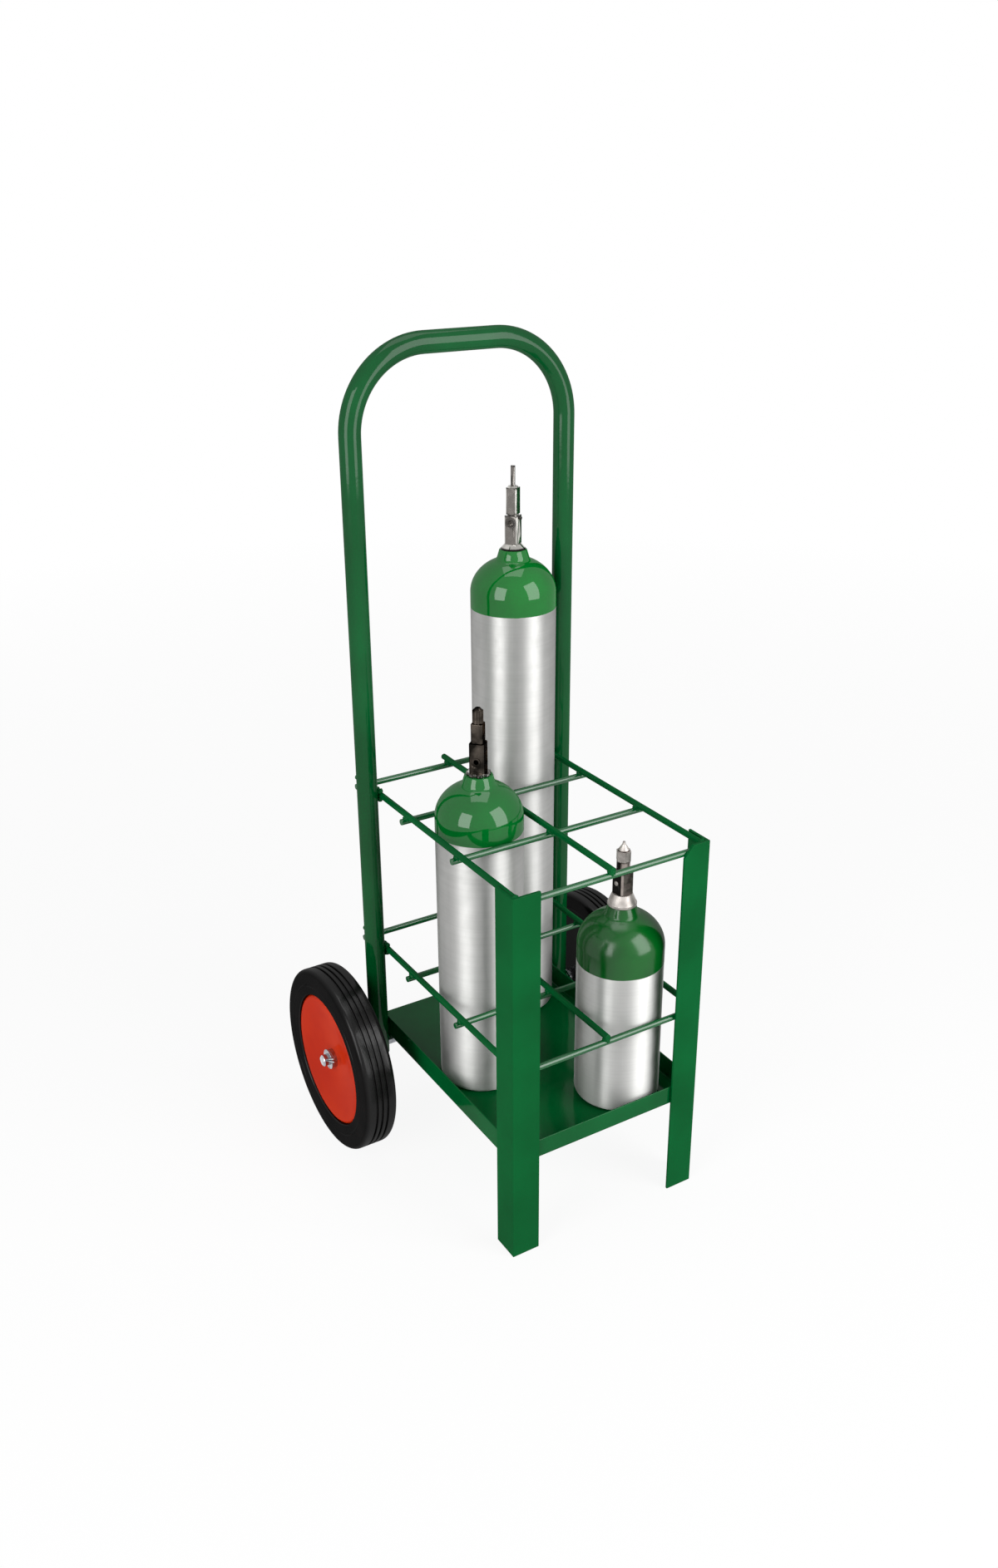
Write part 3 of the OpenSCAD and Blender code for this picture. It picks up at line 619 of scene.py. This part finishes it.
# Weld round the axle on the outside of the handle's legs: a collar with a rippled face.
# Weld metal laid round in one pass and sprayed green with the cart.
COLLAR_R = 0.0128
COLLAR_ROOT = 0.1568
COLLAR_SHOULDER = 0.1618
COLLAR_TAPER = 0.0012
COLLAR_LIP = (0.0096, 0.1654)
COLLAR_FACE = 0.1657
RIPPLE_FROM = 0.158
RIPPLE_DEPTH = 0.0004
RIPPLES = 13
collars = []
for way in ("X", "-X"):
    form = lathe([(bore, COLLAR_ROOT), (COLLAR_R, COLLAR_ROOT),
                  (COLLAR_R - COLLAR_TAPER, COLLAR_SHOULDER), COLLAR_LIP, (bore, COLLAR_FACE)],
                 AXLE_SIDES, axle_line, way)
    for v in form.verts:
        angle = math.atan2(v.co.z - AXLE_Z, v.co.y - AXLE_Y)
        if abs(v.co.x) > RIPPLE_FROM:
            ripple = RIPPLE_DEPTH * (1 + math.sin(RIPPLES * angle))
            v.co.x -= ripple * (1 if v.co.x > 0 else -1)
    collars.append(form)
fit(to_object("axle_weld_collars", join(collars), green_enamel, sharp=60), "cart",
    "green_enamel", "axle_welds")

# Tyres: moulded black rubber on the discs, with rounded shoulders and a tread of four ribs.
# New rubber: the tread is glossier than the side walls, so its ribs catch the light.
TYRE_R = 0.128
TYRE_HALF = 0.0225
TYRE_SEAT = 0.09205
TYRE_HEEL = 0.003
TYRE_MID = 0.2097
TYRE_SIDES = 160
SHOULDER_R = 0.007
SIDE_GROOVE = ((0.104, 0), (0.1045, 0.0005), (0.107, 0.0005), (0.1075, 0))
GROOVE_W = 0.0026
GROOVE_D = 0.0022
GROOVE_LIP = (0.0006, 0.0005)
GROOVE_TAPER = 0.7
GROOVES = 3
RUBBER = (7, 7, 7)
RUBBER_LIGHT = (15, 14, 14)
WALL_GLOSS = 0.035
TREAD_GLOSS = 0.14
RUBBER_GRAIN = (0.0003, 0.22)


def rubber_finish():
    """Black rubber with a fine grain, glossier where it faces away from the wheel's side."""
    material, tree, shader = new_finish("tyre_rubber")
    drift = spread(tree, object_noise(tree, scale=22, detail=4), 0, 1)
    tone = two_tone(tree, drift, linear(RUBBER), linear(RUBBER_LIGHT))
    tree.links.new(tone, shader.inputs["Base Color"])
    clear_coat(tree, shader, WALL_GLOSS, rough=(0.16, 0.28))
    facing = tree.nodes.new("ShaderNodeSeparateXYZ")
    place = tree.nodes.new("ShaderNodeTexCoord")
    tree.links.new(place.outputs["Normal"], facing.inputs["Vector"])
    sideways = tree.nodes.new("ShaderNodeMath")
    sideways.operation = "ABSOLUTE"
    tree.links.new(facing.outputs["X"], sideways.inputs[0])
    gloss = spread(tree, sideways.outputs[0], TREAD_GLOSS, WALL_GLOSS, start=0.3, end=0.95)
    tree.links.new(gloss, shader.inputs["Coat Weight"])
    raise_surface(tree, shader, [(object_noise(tree, scale=420, detail=3), *RUBBER_GRAIN)])
    return material


def tyre_outline():
    """Right-hand section, radius and distance from the middle, round the whole wall."""
    r, w, s = TYRE_R, TYRE_HALF, SHOULDER_R
    heel = TYRE_SEAT + TYRE_HEEL
    points = arc(heel, -w + TYRE_HEEL, TYRE_HEEL, 180, 270, steps=5)
    points += [(ring, -w + sunk) for ring, sunk in SIDE_GROOVE]
    points += arc(r - s, -w + s, s, -90, 0, steps=12)
    pitch = 2 * (w - s) / (GROOVES + 1)
    lip, ease = GROOVE_LIP
    g = GROOVE_W / 2
    for i in range(1, GROOVES + 1):
        y = -w + s + i * pitch
        points += [(r, y - g - lip), (r - ease, y - g), (r - GROOVE_D, y - g * GROOVE_TAPER),
                   (r - GROOVE_D, y + g * GROOVE_TAPER), (r - ease, y + g), (r, y + g + lip)]
    points += arc(r - s, w - s, s, 0, 90, steps=12)
    points += [(ring, w - sunk) for ring, sunk in SIDE_GROOVE[::-1]]
    points += arc(heel, w - TYRE_HEEL, TYRE_HEEL, 90, 180, steps=5)
    return points


tyre_rubber = rubber_finish()
for name, side, way in (("left", -1, "-X"), ("right", 1, "X")):
    tyre = lathe(tyre_outline(), TYRE_SIDES, (side * TYRE_MID, AXLE_Y, AXLE_Z), way)
    fit(to_object("ribbed_tyre_" + name, tyre, tyre_rubber, sharp=38), "wheel_" + name,
        "tyre_rubber", "tyre_" + name)

# Wheel discs: two pressed steel halves back to back, dished towards the hub, with a rolled rim.
# The outer halves are sprayed orange red; the inner ones, turned to the cylinders, are black, a
# painted shade for the shadow inside the wheels.
SEAT_R = 0.092
HUB_R = 0.013
DISC_GAP = 0.0001
DISC_SHEET = 0.002
DISC_SIDES = 128
RIM_OUT = 0.0200
DISH = 0.011
DISC_BEND = 0.005
MIDDLE_R = 0.020
MIDDLE_RISE = (0.0235, 0.0004)
WEB_R = (0.0245, 0.0735)
WEB_START = 0.0006
WEB_SHORT = 0.0026
WEB_BOW = 1.15
WEB_STEPS = 15
RIM_ROLL = ((0.0755, 0.0016), (0.080, 0.0008))


def disc_outline():
    """Section of one half: hub hole, flat middle, dished web, rolled rim, tyre flange."""
    middle = RIM_OUT - DISH + DISC_SHEET
    inner, outer = WEB_R
    deep = DISH - DISC_SHEET - WEB_SHORT
    web = [(inner + (outer - inner) * t, middle + WEB_START + deep * t ** WEB_BOW)
           for t in (i / WEB_STEPS for i in range(1, WEB_STEPS))]
    web += [(r, RIM_OUT - drop) for r, drop in RIM_ROLL]
    bend = (SEAT_R - DISC_BEND, RIM_OUT - DISC_BEND)
    outside = [(HUB_R + DISC_GAP, middle), (MIDDLE_R, middle),
               (MIDDLE_RISE[0], middle + MIDDLE_RISE[1])] + web
    outside += arc(*bend, DISC_BEND, 90, 0, steps=8) + [(SEAT_R, DISC_GAP)]
    inside = [(SEAT_R - DISC_SHEET, DISC_GAP)]
    inside += arc(*bend, DISC_BEND - DISC_SHEET, 0, 90, steps=6)
    inside += [(r, h - DISC_SHEET) for r, h in web[::-1]]
    inside += [(MIDDLE_R, RIM_OUT - DISH), (HUB_R + DISC_GAP, RIM_OUT - DISH)]
    return outside + inside


red_enamel = enamel("red_enamel", dark=(188, 38, 7), light=(204, 50, 12),
                    rough=(0.06, 0.14), gloss=0.07)
# Black for the inner halves is painted shade: it stands for the shadow on the wheels' inner
# sides.
black_enamel = enamel("black_enamel", dark=(14, 14, 14), light=(24, 24, 23),
                      rough=(0.1, 0.2), gloss=0.05)
for name, side in (("left", -1), ("right", 1)):
    for layer, way, paint, slot in (("outer", side, red_enamel, "red_enamel"),
                                    ("inner", -side, black_enamel, "black_enamel")):
        disc = lathe(disc_outline(), DISC_SIDES, (side * TYRE_MID, AXLE_Y, AXLE_Z),
                     "X" if way > 0 else "-X")
        fit(to_object("pressed_%s_disc_%s" % (layer, name), disc, paint, sharp=50),
            "wheel_" + name, slot, "%s_disc_%s" % (layer, name))

# Hubs: a plated tube welded into both discs, with a bronze bush pressed into each end.
# The bushes turn on the axle between the two washers.
HUB_ENDS = (0.1683, 0.2267)
HUB_BORE = 0.01105
HUB_EDGE = 0.0004
BUSH_R = 0.011
BUSH_GAP = 0.00005
BUSH_LONG = 0.014
BUSH_EDGE = 0.0002
bronze = metal("bush_bronze", dark=(120, 92, 52), light=(150, 118, 70), rough=(0.3, 0.45))
for name, way in (("left", "-X"), ("right", "X")):
    a, b = HUB_ENDS
    tube = lathe([(HUB_BORE, a), (HUB_R, a), (HUB_R, b), (HUB_BORE, b)], WASHER_SIDES,
                 axle_line, way)
    fit(to_object("hub_sleeve_" + name, tube, zinc_plate, bevel=HUB_EDGE), "wheel_" + name,
        "plated_steel", "hub_tube_" + name)
    inner = AXLE_R + BUSH_GAP
    bushes = join([lathe([(inner, p), (BUSH_R, p), (BUSH_R, q), (inner, q)], AXLE_SIDES,
                         axle_line, way) for p, q in ((a, a + BUSH_LONG), (b - BUSH_LONG, b))])
    fit(to_object("hub_bearings_" + name, bushes, bronze, bevel=BUSH_EDGE), "wheel_" + name,
        "bush_bronze", "hub_bushes_" + name)

# Cylinder shells: seamless aluminium with a rounded bottom edge, domed shoulder, short neck.
# Bare metal with faint turning marks; green enamel from a masked line up over the shoulder.
# Each cylinder has a place and a length, and its masked line drops so far from the top.
SHELL_R = 0.0555
SHELL_WALL = 0.006
SHELL_BASE = 0.008
SHELL_HEEL = 0.008
SHELL_SIDES = 128
WALL_STEPS = 12
DOME = 0.046
DOME_SHORT = 3.5
NECK_R = 0.0215
NECK_TOP_R = 0.0175
NECK_LONG = 0.0135
NECK_FILLET = 0.004
NECK_LIP = ((0.0003, 0.001), (-0.0007, 0))
NECK_BORE = 0.0095
FLOOR_Z = 0.138
PAINT_GLOSS = 0.25
PAINT_EDGE = (0.00012, 0.6)
MASK_WANDER = 0.0012
MASK_BLUR = (0.0004, 0.0009)
SHELL_WAVES = (0.0002, 0.05)
TURNED = 0.88
CYLINDERS = {"tall": (0.066, 0.094, 0.669),
             "medium": (-0.066, -0.037, 0.435),
             "short": (0.063, -0.165, 0.277)}
# The short shell's greens are darker, as painted shade and painted dark reflection; its bare
# metal is lighter with brighter edges, as painted light.
PAINT_AND_SHADE = {"tall": (0.0755, (0, 100, 30), (0, 112, 36), (0.03, 0.07)),
           "medium": (0.0737, (0, 92, 30), (0, 104, 36), (0.03, 0.07)),
           "short": (0.0781, (0, 76, 20), (0, 92, 26), (0.12, 0.26))}
BARE_AND_PAINTED_LIGHT = {"tall": (194, 0.45), "medium": (194, 0.45), "short": (206, 0.85)}


def shell_outline(long):
    """Section of a hollow shell from the middle of its bottom, outside up and inside down."""
    neck_angle = math.degrees(math.acos(NECK_R / SHELL_R))
    neck = long - NECK_LONG
    shoulder = neck - DOME * math.sin(math.radians(neck_angle))
    inner = SHELL_R - SHELL_WALL
    inner_heel = SHELL_HEEL - SHELL_WALL
    bore_angle = math.degrees(math.acos(NECK_BORE / inner))
    wall = [(SHELL_R, SHELL_HEEL + (shoulder - SHELL_HEEL) * i / WALL_STEPS)
            for i in range(1, WALL_STEPS)]
    dome = arc(0, shoulder, SHELL_R, 0, neck_angle - DOME_SHORT, steps=28, tall=DOME)
    up = NECK_FILLET / NECK_LONG
    bend = (dome[-1], (NECK_R, neck),
            (NECK_R + (NECK_TOP_R - NECK_R) * up, neck + NECK_FILLET))
    fillet = [tuple((1 - t) ** 2 * a + 2 * t * (1 - t) * b + t * t * c for a, b, c in zip(*bend))
              for t in (i / 6 for i in range(1, 7))]
    lip = [(NECK_TOP_R + wide, long - drop) for wide, drop in NECK_LIP]
    return ([(0, 0), (SHELL_R * 0.4, 0)]
            + arc(SHELL_R - SHELL_HEEL, SHELL_HEEL, SHELL_HEEL, -90, 0, steps=10)
            + wall + dome + fillet + lip + [(NECK_BORE, long)]
            + arc(0, shoulder, inner, bore_angle, 0, steps=16, tall=DOME - SHELL_WALL)
            + arc(inner - inner_heel, SHELL_BASE + inner_heel, inner_heel, 0, -90, steps=6)
            + [(0, SHELL_BASE)])


def alloy(tone, warm=2):
    """The colour of bare aluminium, a little short of blue."""
    return linear((tone, tone, tone - warm))


def shell_finish(name, paint_z, dark, light, rough, tone, edge):
    """Bare aluminium below the masked line, gloss green above it."""
    material, tree, shader = new_finish(name)
    place = tree.nodes.new("ShaderNodeTexCoord")
    axes = tree.nodes.new("ShaderNodeSeparateXYZ")
    tree.links.new(place.outputs["Object"], axes.inputs["Vector"])
    wander = tree.nodes.new("ShaderNodeMath")
    wander.operation = "MULTIPLY_ADD"
    wander.inputs[1].default_value = MASK_WANDER
    tree.links.new(object_noise(tree, scale=60, detail=3), wander.inputs[0])
    tree.links.new(axes.outputs["Z"], wander.inputs[2])
    painted = spread(tree, wander.outputs[0], 0, 1,
                     start=paint_z + MASK_BLUR[0], end=paint_z + MASK_BLUR[1])

    turning = spread(tree, object_noise(tree, scale=5, detail=4, stretch=(1, 1, 60)), 0, 1)
    bare = two_tone(tree, turning, alloy(tone - 2), alloy(tone + 3))
    grain = spread(tree, object_noise(tree, scale=90, detail=3, stretch=(1, 1, 0.02)), 0, 0.3)
    bare = two_tone(tree, grain, bare, alloy(tone - 14, warm=1))
    drift = spread(tree, object_noise(tree, scale=14, detail=3), 0, 1)
    green = two_tone(tree, drift, linear(dark), linear(light))
    tree.links.new(two_tone(tree, painted, bare, green), shader.inputs["Base Color"])

    plain = tree.nodes.new("ShaderNodeMath")
    plain.operation = "SUBTRACT"
    plain.inputs[0].default_value = 1.0
    tree.links.new(painted, plain.inputs[1])
    tree.links.new(plain.outputs[0], shader.inputs["Metallic"])
    satin = spread(tree, object_noise(tree, scale=46, detail=4), 0.55, 0.63)
    tree.links.new(satin, shader.inputs["Roughness"])
    clear_coat(tree, shader, 0.0, rough)
    gloss = spread(tree, painted, 0, PAINT_GLOSS, start=0, end=1)
    tree.links.new(gloss, shader.inputs["Coat Weight"])

    turned = tree.nodes.new("ShaderNodeMath")
    turned.operation = "MULTIPLY"
    turned.inputs[1].default_value = TURNED
    tree.links.new(plain.outputs[0], turned.inputs[0])
    tree.links.new(turned.outputs[0], shader.inputs["Anisotropic"])
    upright = tree.nodes.new("ShaderNodeCombineXYZ")
    upright.inputs["Z"].default_value = 1.0
    tree.links.new(upright.outputs["Vector"], shader.inputs["Tangent"])
    tint = two_tone(tree, painted, (edge, edge, edge, 1), (1, 1, 1, 1))
    tree.links.new(tint, shader.inputs["Specular Tint"])
    waves = object_noise(tree, scale=200, detail=1)
    raise_surface(tree, shader, [(painted, *PAINT_EDGE), (waves, *SHELL_WAVES)])
    return material


for name, (x, y, long) in CYLINDERS.items():
    shell = lathe(shell_outline(long), SHELL_SIDES, (x, y, FLOOR_Z))
    drop, dark, light, rough = PAINT_AND_SHADE[name]
    material = shell_finish(name + "_shell_finish", FLOOR_Z + long - drop, dark, light, rough,
                            *BARE_AND_PAINTED_LIGHT[name])
    fit(to_object(name + "_gas_shell", shell, material, sharp=40), name + "_cylinder",
        "shell_aluminium", name + "_shell")

# Valves: machined and plated brass, screwed into the necks; the medium one is dark brass.
# Each keeps the forms of its nodes, with merged corners and eased edges. Painted shade darkens
# its corners, hollows and one side, and a painted dark reflection runs along its outer edges.
bright_plate = metal("valve_plating", dark=(170, 168, 163), light=(216, 214, 208),
                     rough=(0.08, 0.13), stretch=(1, 1, 4), marks=0.01, grain=0)
satin_plate = metal("satin_plating", dark=(156, 150, 146), light=(202, 196, 191),
                    rough=(0.42, 0.55), stretch=(1, 1, 4), marks=0.05)
block_plate = metal("block_plating", dark=(116, 106, 102), light=(168, 158, 152),
                    rough=(0.3, 0.44), stretch=(1, 1, 4), marks=0.04)
dark_brass = metal("dark_valve", dark=(26, 24, 21), light=(84, 77, 70),
                   rough=(0.14, 0.3), stretch=(1, 1, 4), edge=0.3)


def paint_shade_and_dark_edges(material, colour, hollow, rim):
    """Paints shade into a metal's corners and hollows, and a dark reflection along its outer
    edges.
    """
    tree = material.node_tree
    shader = tree.nodes["Principled BSDF"]
    bare = shader.inputs["Base Color"].links[0].from_socket
    for inside, reach in ((False, hollow), (True, rim)):
        shade = tree.nodes.new("ShaderNodeAmbientOcclusion")
        shade.inside = inside
        shade.only_local = True
        shade.samples = 16
        shade.inputs["Distance"].default_value = reach
        open_face = spread(tree, shade.outputs["AO"], 0, 1, start=0.5, end=0.92)
        bare = two_tone(tree, open_face, linear(colour), bare)
    tree.links.new(bare, shader.inputs["Base Color"])


def paint_side_shade(material, colour, way):
    """Paints shade on the faces that look one way, darkening that side of the piece."""
    tree = material.node_tree
    shader = tree.nodes["Principled BSDF"]
    bare = shader.inputs["Base Color"].links[0].from_socket
    facing = tree.nodes.new("ShaderNodeVectorMath")
    facing.operation = "DOT_PRODUCT"
    facing.inputs[1].default_value = way
    place = tree.nodes.new("ShaderNodeTexCoord")
    tree.links.new(place.outputs["Normal"], facing.inputs[0])
    face = spread(tree, facing.outputs["Value"], 0, 1, start=0.8, end=0.92)
    tree.links.new(two_tone(tree, face, bare, linear(colour)), shader.inputs["Base Color"])


# Painted shade: the block faces that look to the front left and to the left are darkened.
paint_side_shade(bright_plate, colour=(118, 114, 110), way=(-0.819, -0.574, 0))
paint_side_shade(block_plate, colour=(20, 17, 16), way=(-0.996, -0.087, 0))
# Painted shade in the valves' corners and hollows, and painted dark reflection along their outer
# edges.
paint_shade_and_dark_edges(bright_plate, colour=(20, 18, 18), hollow=0.0012, rim=0.003)
paint_shade_and_dark_edges(satin_plate, colour=(80, 72, 68), hollow=0.0016, rim=0.0016)
paint_shade_and_dark_edges(block_plate, colour=(30, 26, 24), hollow=0.0012, rim=0.002)


def dressed(node, name, material, bevel):
    """A merged copy of a node with flat faces cleaned up, for eased edges and smooth turning."""
    form = bmesh.new()
    form.from_mesh(frame["nodes"][node].data)
    bmesh.ops.remove_doubles(form, verts=form.verts, dist=1e-6)
    bmesh.ops.dissolve_limit(form, angle_limit=math.radians(1), verts=form.verts,
                             edges=form.edges)
    bmesh.ops.recalc_face_normals(form, faces=form.faces)
    return to_object(name, form, material, sharp=30, bevel=bevel)


bodies = {node: body for body, members in frame["record"]["behaviour"]["bodies"].items()
          for node in members}
for node, name, material, finish, bevel in (
        ("tall_valve_body", "tall_block", bright_plate, "valve_plating", 0.0004),
        ("tall_valve_post", "tall_post", bright_plate, "valve_plating", 0.0004),
        ("tall_relief_plug", "tall_plug", bright_plate, "valve_plating", 0.0003),
        ("tall_stem", "tall_flat_stem", bright_plate, "valve_plating", 0.0003),
        ("medium_neck_ring", "medium_ring", bright_plate, "valve_plating", 0.0003),
        ("medium_valve_body", "medium_block", dark_brass, "dark_valve", 0.0005),
        ("medium_valve_post", "medium_post", dark_brass, "dark_valve", 0.0005),
        ("medium_knob", "medium_grip", dark_brass, "dark_valve", 0.0003),
        ("short_collar", "short_flare", satin_plate, "valve_plating", 0.0006),
        ("short_valve_body", "short_block", block_plate, "dark_valve", 0.0004),
        ("short_port_plug", "short_plug", satin_plate, "valve_plating", 0.0008),
        ("short_gland_nut", "short_nut", satin_plate, "valve_plating", 0.0006),
        ("short_spindle", "short_point", satin_plate, "valve_plating", 0.0003)):
    fit(dressed(node, name, material, bevel), bodies[node], finish, node)

# Studio: a plain pale floor that keeps the shadow, a white surround, two tall soft boxes
# in front and one above. None of it is part of the cart. Each box has a place, a point
# that it faces, a width and height, and a power.
GROUND_HALF = 14.0
GROUND_Z = -0.0002
GROUND_TONE = 0.92
GROUND_GLOW = 0.91
GLOW_NEAR = 0.7
GLOW_FAR = 3.5
SURROUND_LIGHT = 0.15
SOFT_BOXES = (("left_box", (-2.2, -0.85, 1.35), (0.0, 0.0, 0.6), (1.3, 2.0), 43),
              ("right_box", (1.0, -2.0, 1.45), (0.0, 0.0, 0.6), (1.5, 2.4), 55),
              ("top_box", (0.2, 0.3, 2.9), (0.0, 0.0, 0.3), (1.4, 1.4), 14))


def background_ray(tree):
    """1 where the camera, a gloss or a glass looks, 0 where light falls on things."""
    ray = tree.nodes.new("ShaderNodeLightPath")
    total = ray.outputs["Is Camera Ray"]
    for name in ("Is Glossy Ray", "Is Transmission Ray"):
        add = tree.nodes.new("ShaderNodeMath")
        add.operation = "MAXIMUM"
        tree.links.new(total, add.inputs[0])
        tree.links.new(ray.outputs[name], add.inputs[1])
        total = add.outputs[0]
    return total


floor_mesh = bpy.data.meshes.new("pale_floor")
s = GROUND_HALF
corners = [(-s, -s, GROUND_Z), (s, -s, GROUND_Z), (s, s, GROUND_Z), (-s, s, GROUND_Z)]
floor_mesh.from_pydata(corners, [], [(0, 1, 2, 3)])
pale_floor = bpy.data.objects.new("pale_floor", floor_mesh)
bpy.context.scene.collection.objects.link(pale_floor)
floor_finish, tree, shader = new_finish("pale_floor")
shader.inputs["Base Color"].default_value = (GROUND_TONE, GROUND_TONE, GROUND_TONE, 1)
shader.inputs["Roughness"].default_value = 0.9
shader.inputs["Specular IOR Level"].default_value = 0.0
glow = tree.nodes.new("ShaderNodeEmission")
blend = tree.nodes.new("ShaderNodeMixShader")
spot = tree.nodes.new("ShaderNodeTexCoord")
away = tree.nodes.new("ShaderNodeVectorMath")
away.operation = "LENGTH"
tree.links.new(spot.outputs["Object"], away.inputs[0])
lift = tree.nodes.new("ShaderNodeMath")
lift.operation = "MULTIPLY"
fade = spread(tree, away.outputs["Value"], GROUND_GLOW, 1.0, start=GLOW_NEAR, end=GLOW_FAR)
tree.links.new(fade, lift.inputs[0])
tree.links.new(background_ray(tree), lift.inputs[1])
tree.links.new(lift.outputs[0], blend.inputs[0])
tree.links.new(shader.outputs[0], blend.inputs[1])
tree.links.new(glow.outputs[0], blend.inputs[2])
tree.links.new(blend.outputs[0], tree.nodes["Material Output"].inputs["Surface"])
floor_mesh.materials.append(floor_finish)
pale_floor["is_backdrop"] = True

surround = bpy.data.worlds.new("white_surround")
surround.use_nodes = True
tree = surround.node_tree
back = tree.nodes["Background"]
back.inputs["Color"].default_value = (1, 1, 1, 1)
level = spread(tree, background_ray(tree), SURROUND_LIGHT, 1.0, start=0.0, end=1.0)
tree.links.new(level, back.inputs["Strength"])
bpy.context.scene.world = surround

for name, place, target, (wide, high), power in SOFT_BOXES:
    lamp = bpy.data.lights.new(name, "AREA")
    lamp.shape = "RECTANGLE"
    lamp.size = wide
    lamp.size_y = high
    lamp.energy = power
    box_light = bpy.data.objects.new(name, lamp)
    bpy.context.scene.collection.objects.link(box_light)
    box_light.location = place
    aim = Vector(target) - Vector(place)
    box_light.rotation_euler = aim.to_track_quat("-Z", "Y").to_euler()

# Camera: to the left of the front and above, as the photograph was taken.
# Its place, turn, rise, roll and lens come from points measured on the cart.
CAMERA_PLACE = (-0.84568, -1.36974, 1.2517)
CAMERA_TURN = math.radians(-31.2524)
CAMERA_RISE = math.radians(24.154)
CAMERA_ROLL = math.radians(-0.388)
CAMERA_LENS = 31.654
CAMERA_FILM = 36
lens = bpy.data.cameras.new("camera")
lens.lens = CAMERA_LENS
lens.sensor_width = CAMERA_FILM
lens.clip_start = 0.05
lens.clip_end = 60
camera = bpy.data.objects.new("camera", lens)
bpy.context.scene.collection.objects.link(camera)
ahead = -Vector((math.sin(CAMERA_TURN) * math.cos(CAMERA_RISE),
                 -math.cos(CAMERA_TURN) * math.cos(CAMERA_RISE),
                 math.sin(CAMERA_RISE)))
level_right = Vector((math.cos(CAMERA_TURN), math.sin(CAMERA_TURN), 0))
level_up = level_right.cross(ahead)
right = level_right * math.cos(CAMERA_ROLL) + level_up * math.sin(CAMERA_ROLL)
up = -level_right * math.sin(CAMERA_ROLL) + level_up * math.cos(CAMERA_ROLL)
turned = Matrix((right, up, -ahead)).transposed().to_4x4()
camera.matrix_world = Matrix.Translation(CAMERA_PLACE) @ turned
bpy.context.scene.camera = camera
bpy.context.scene.view_settings.view_transform = "Standard"

low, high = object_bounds()
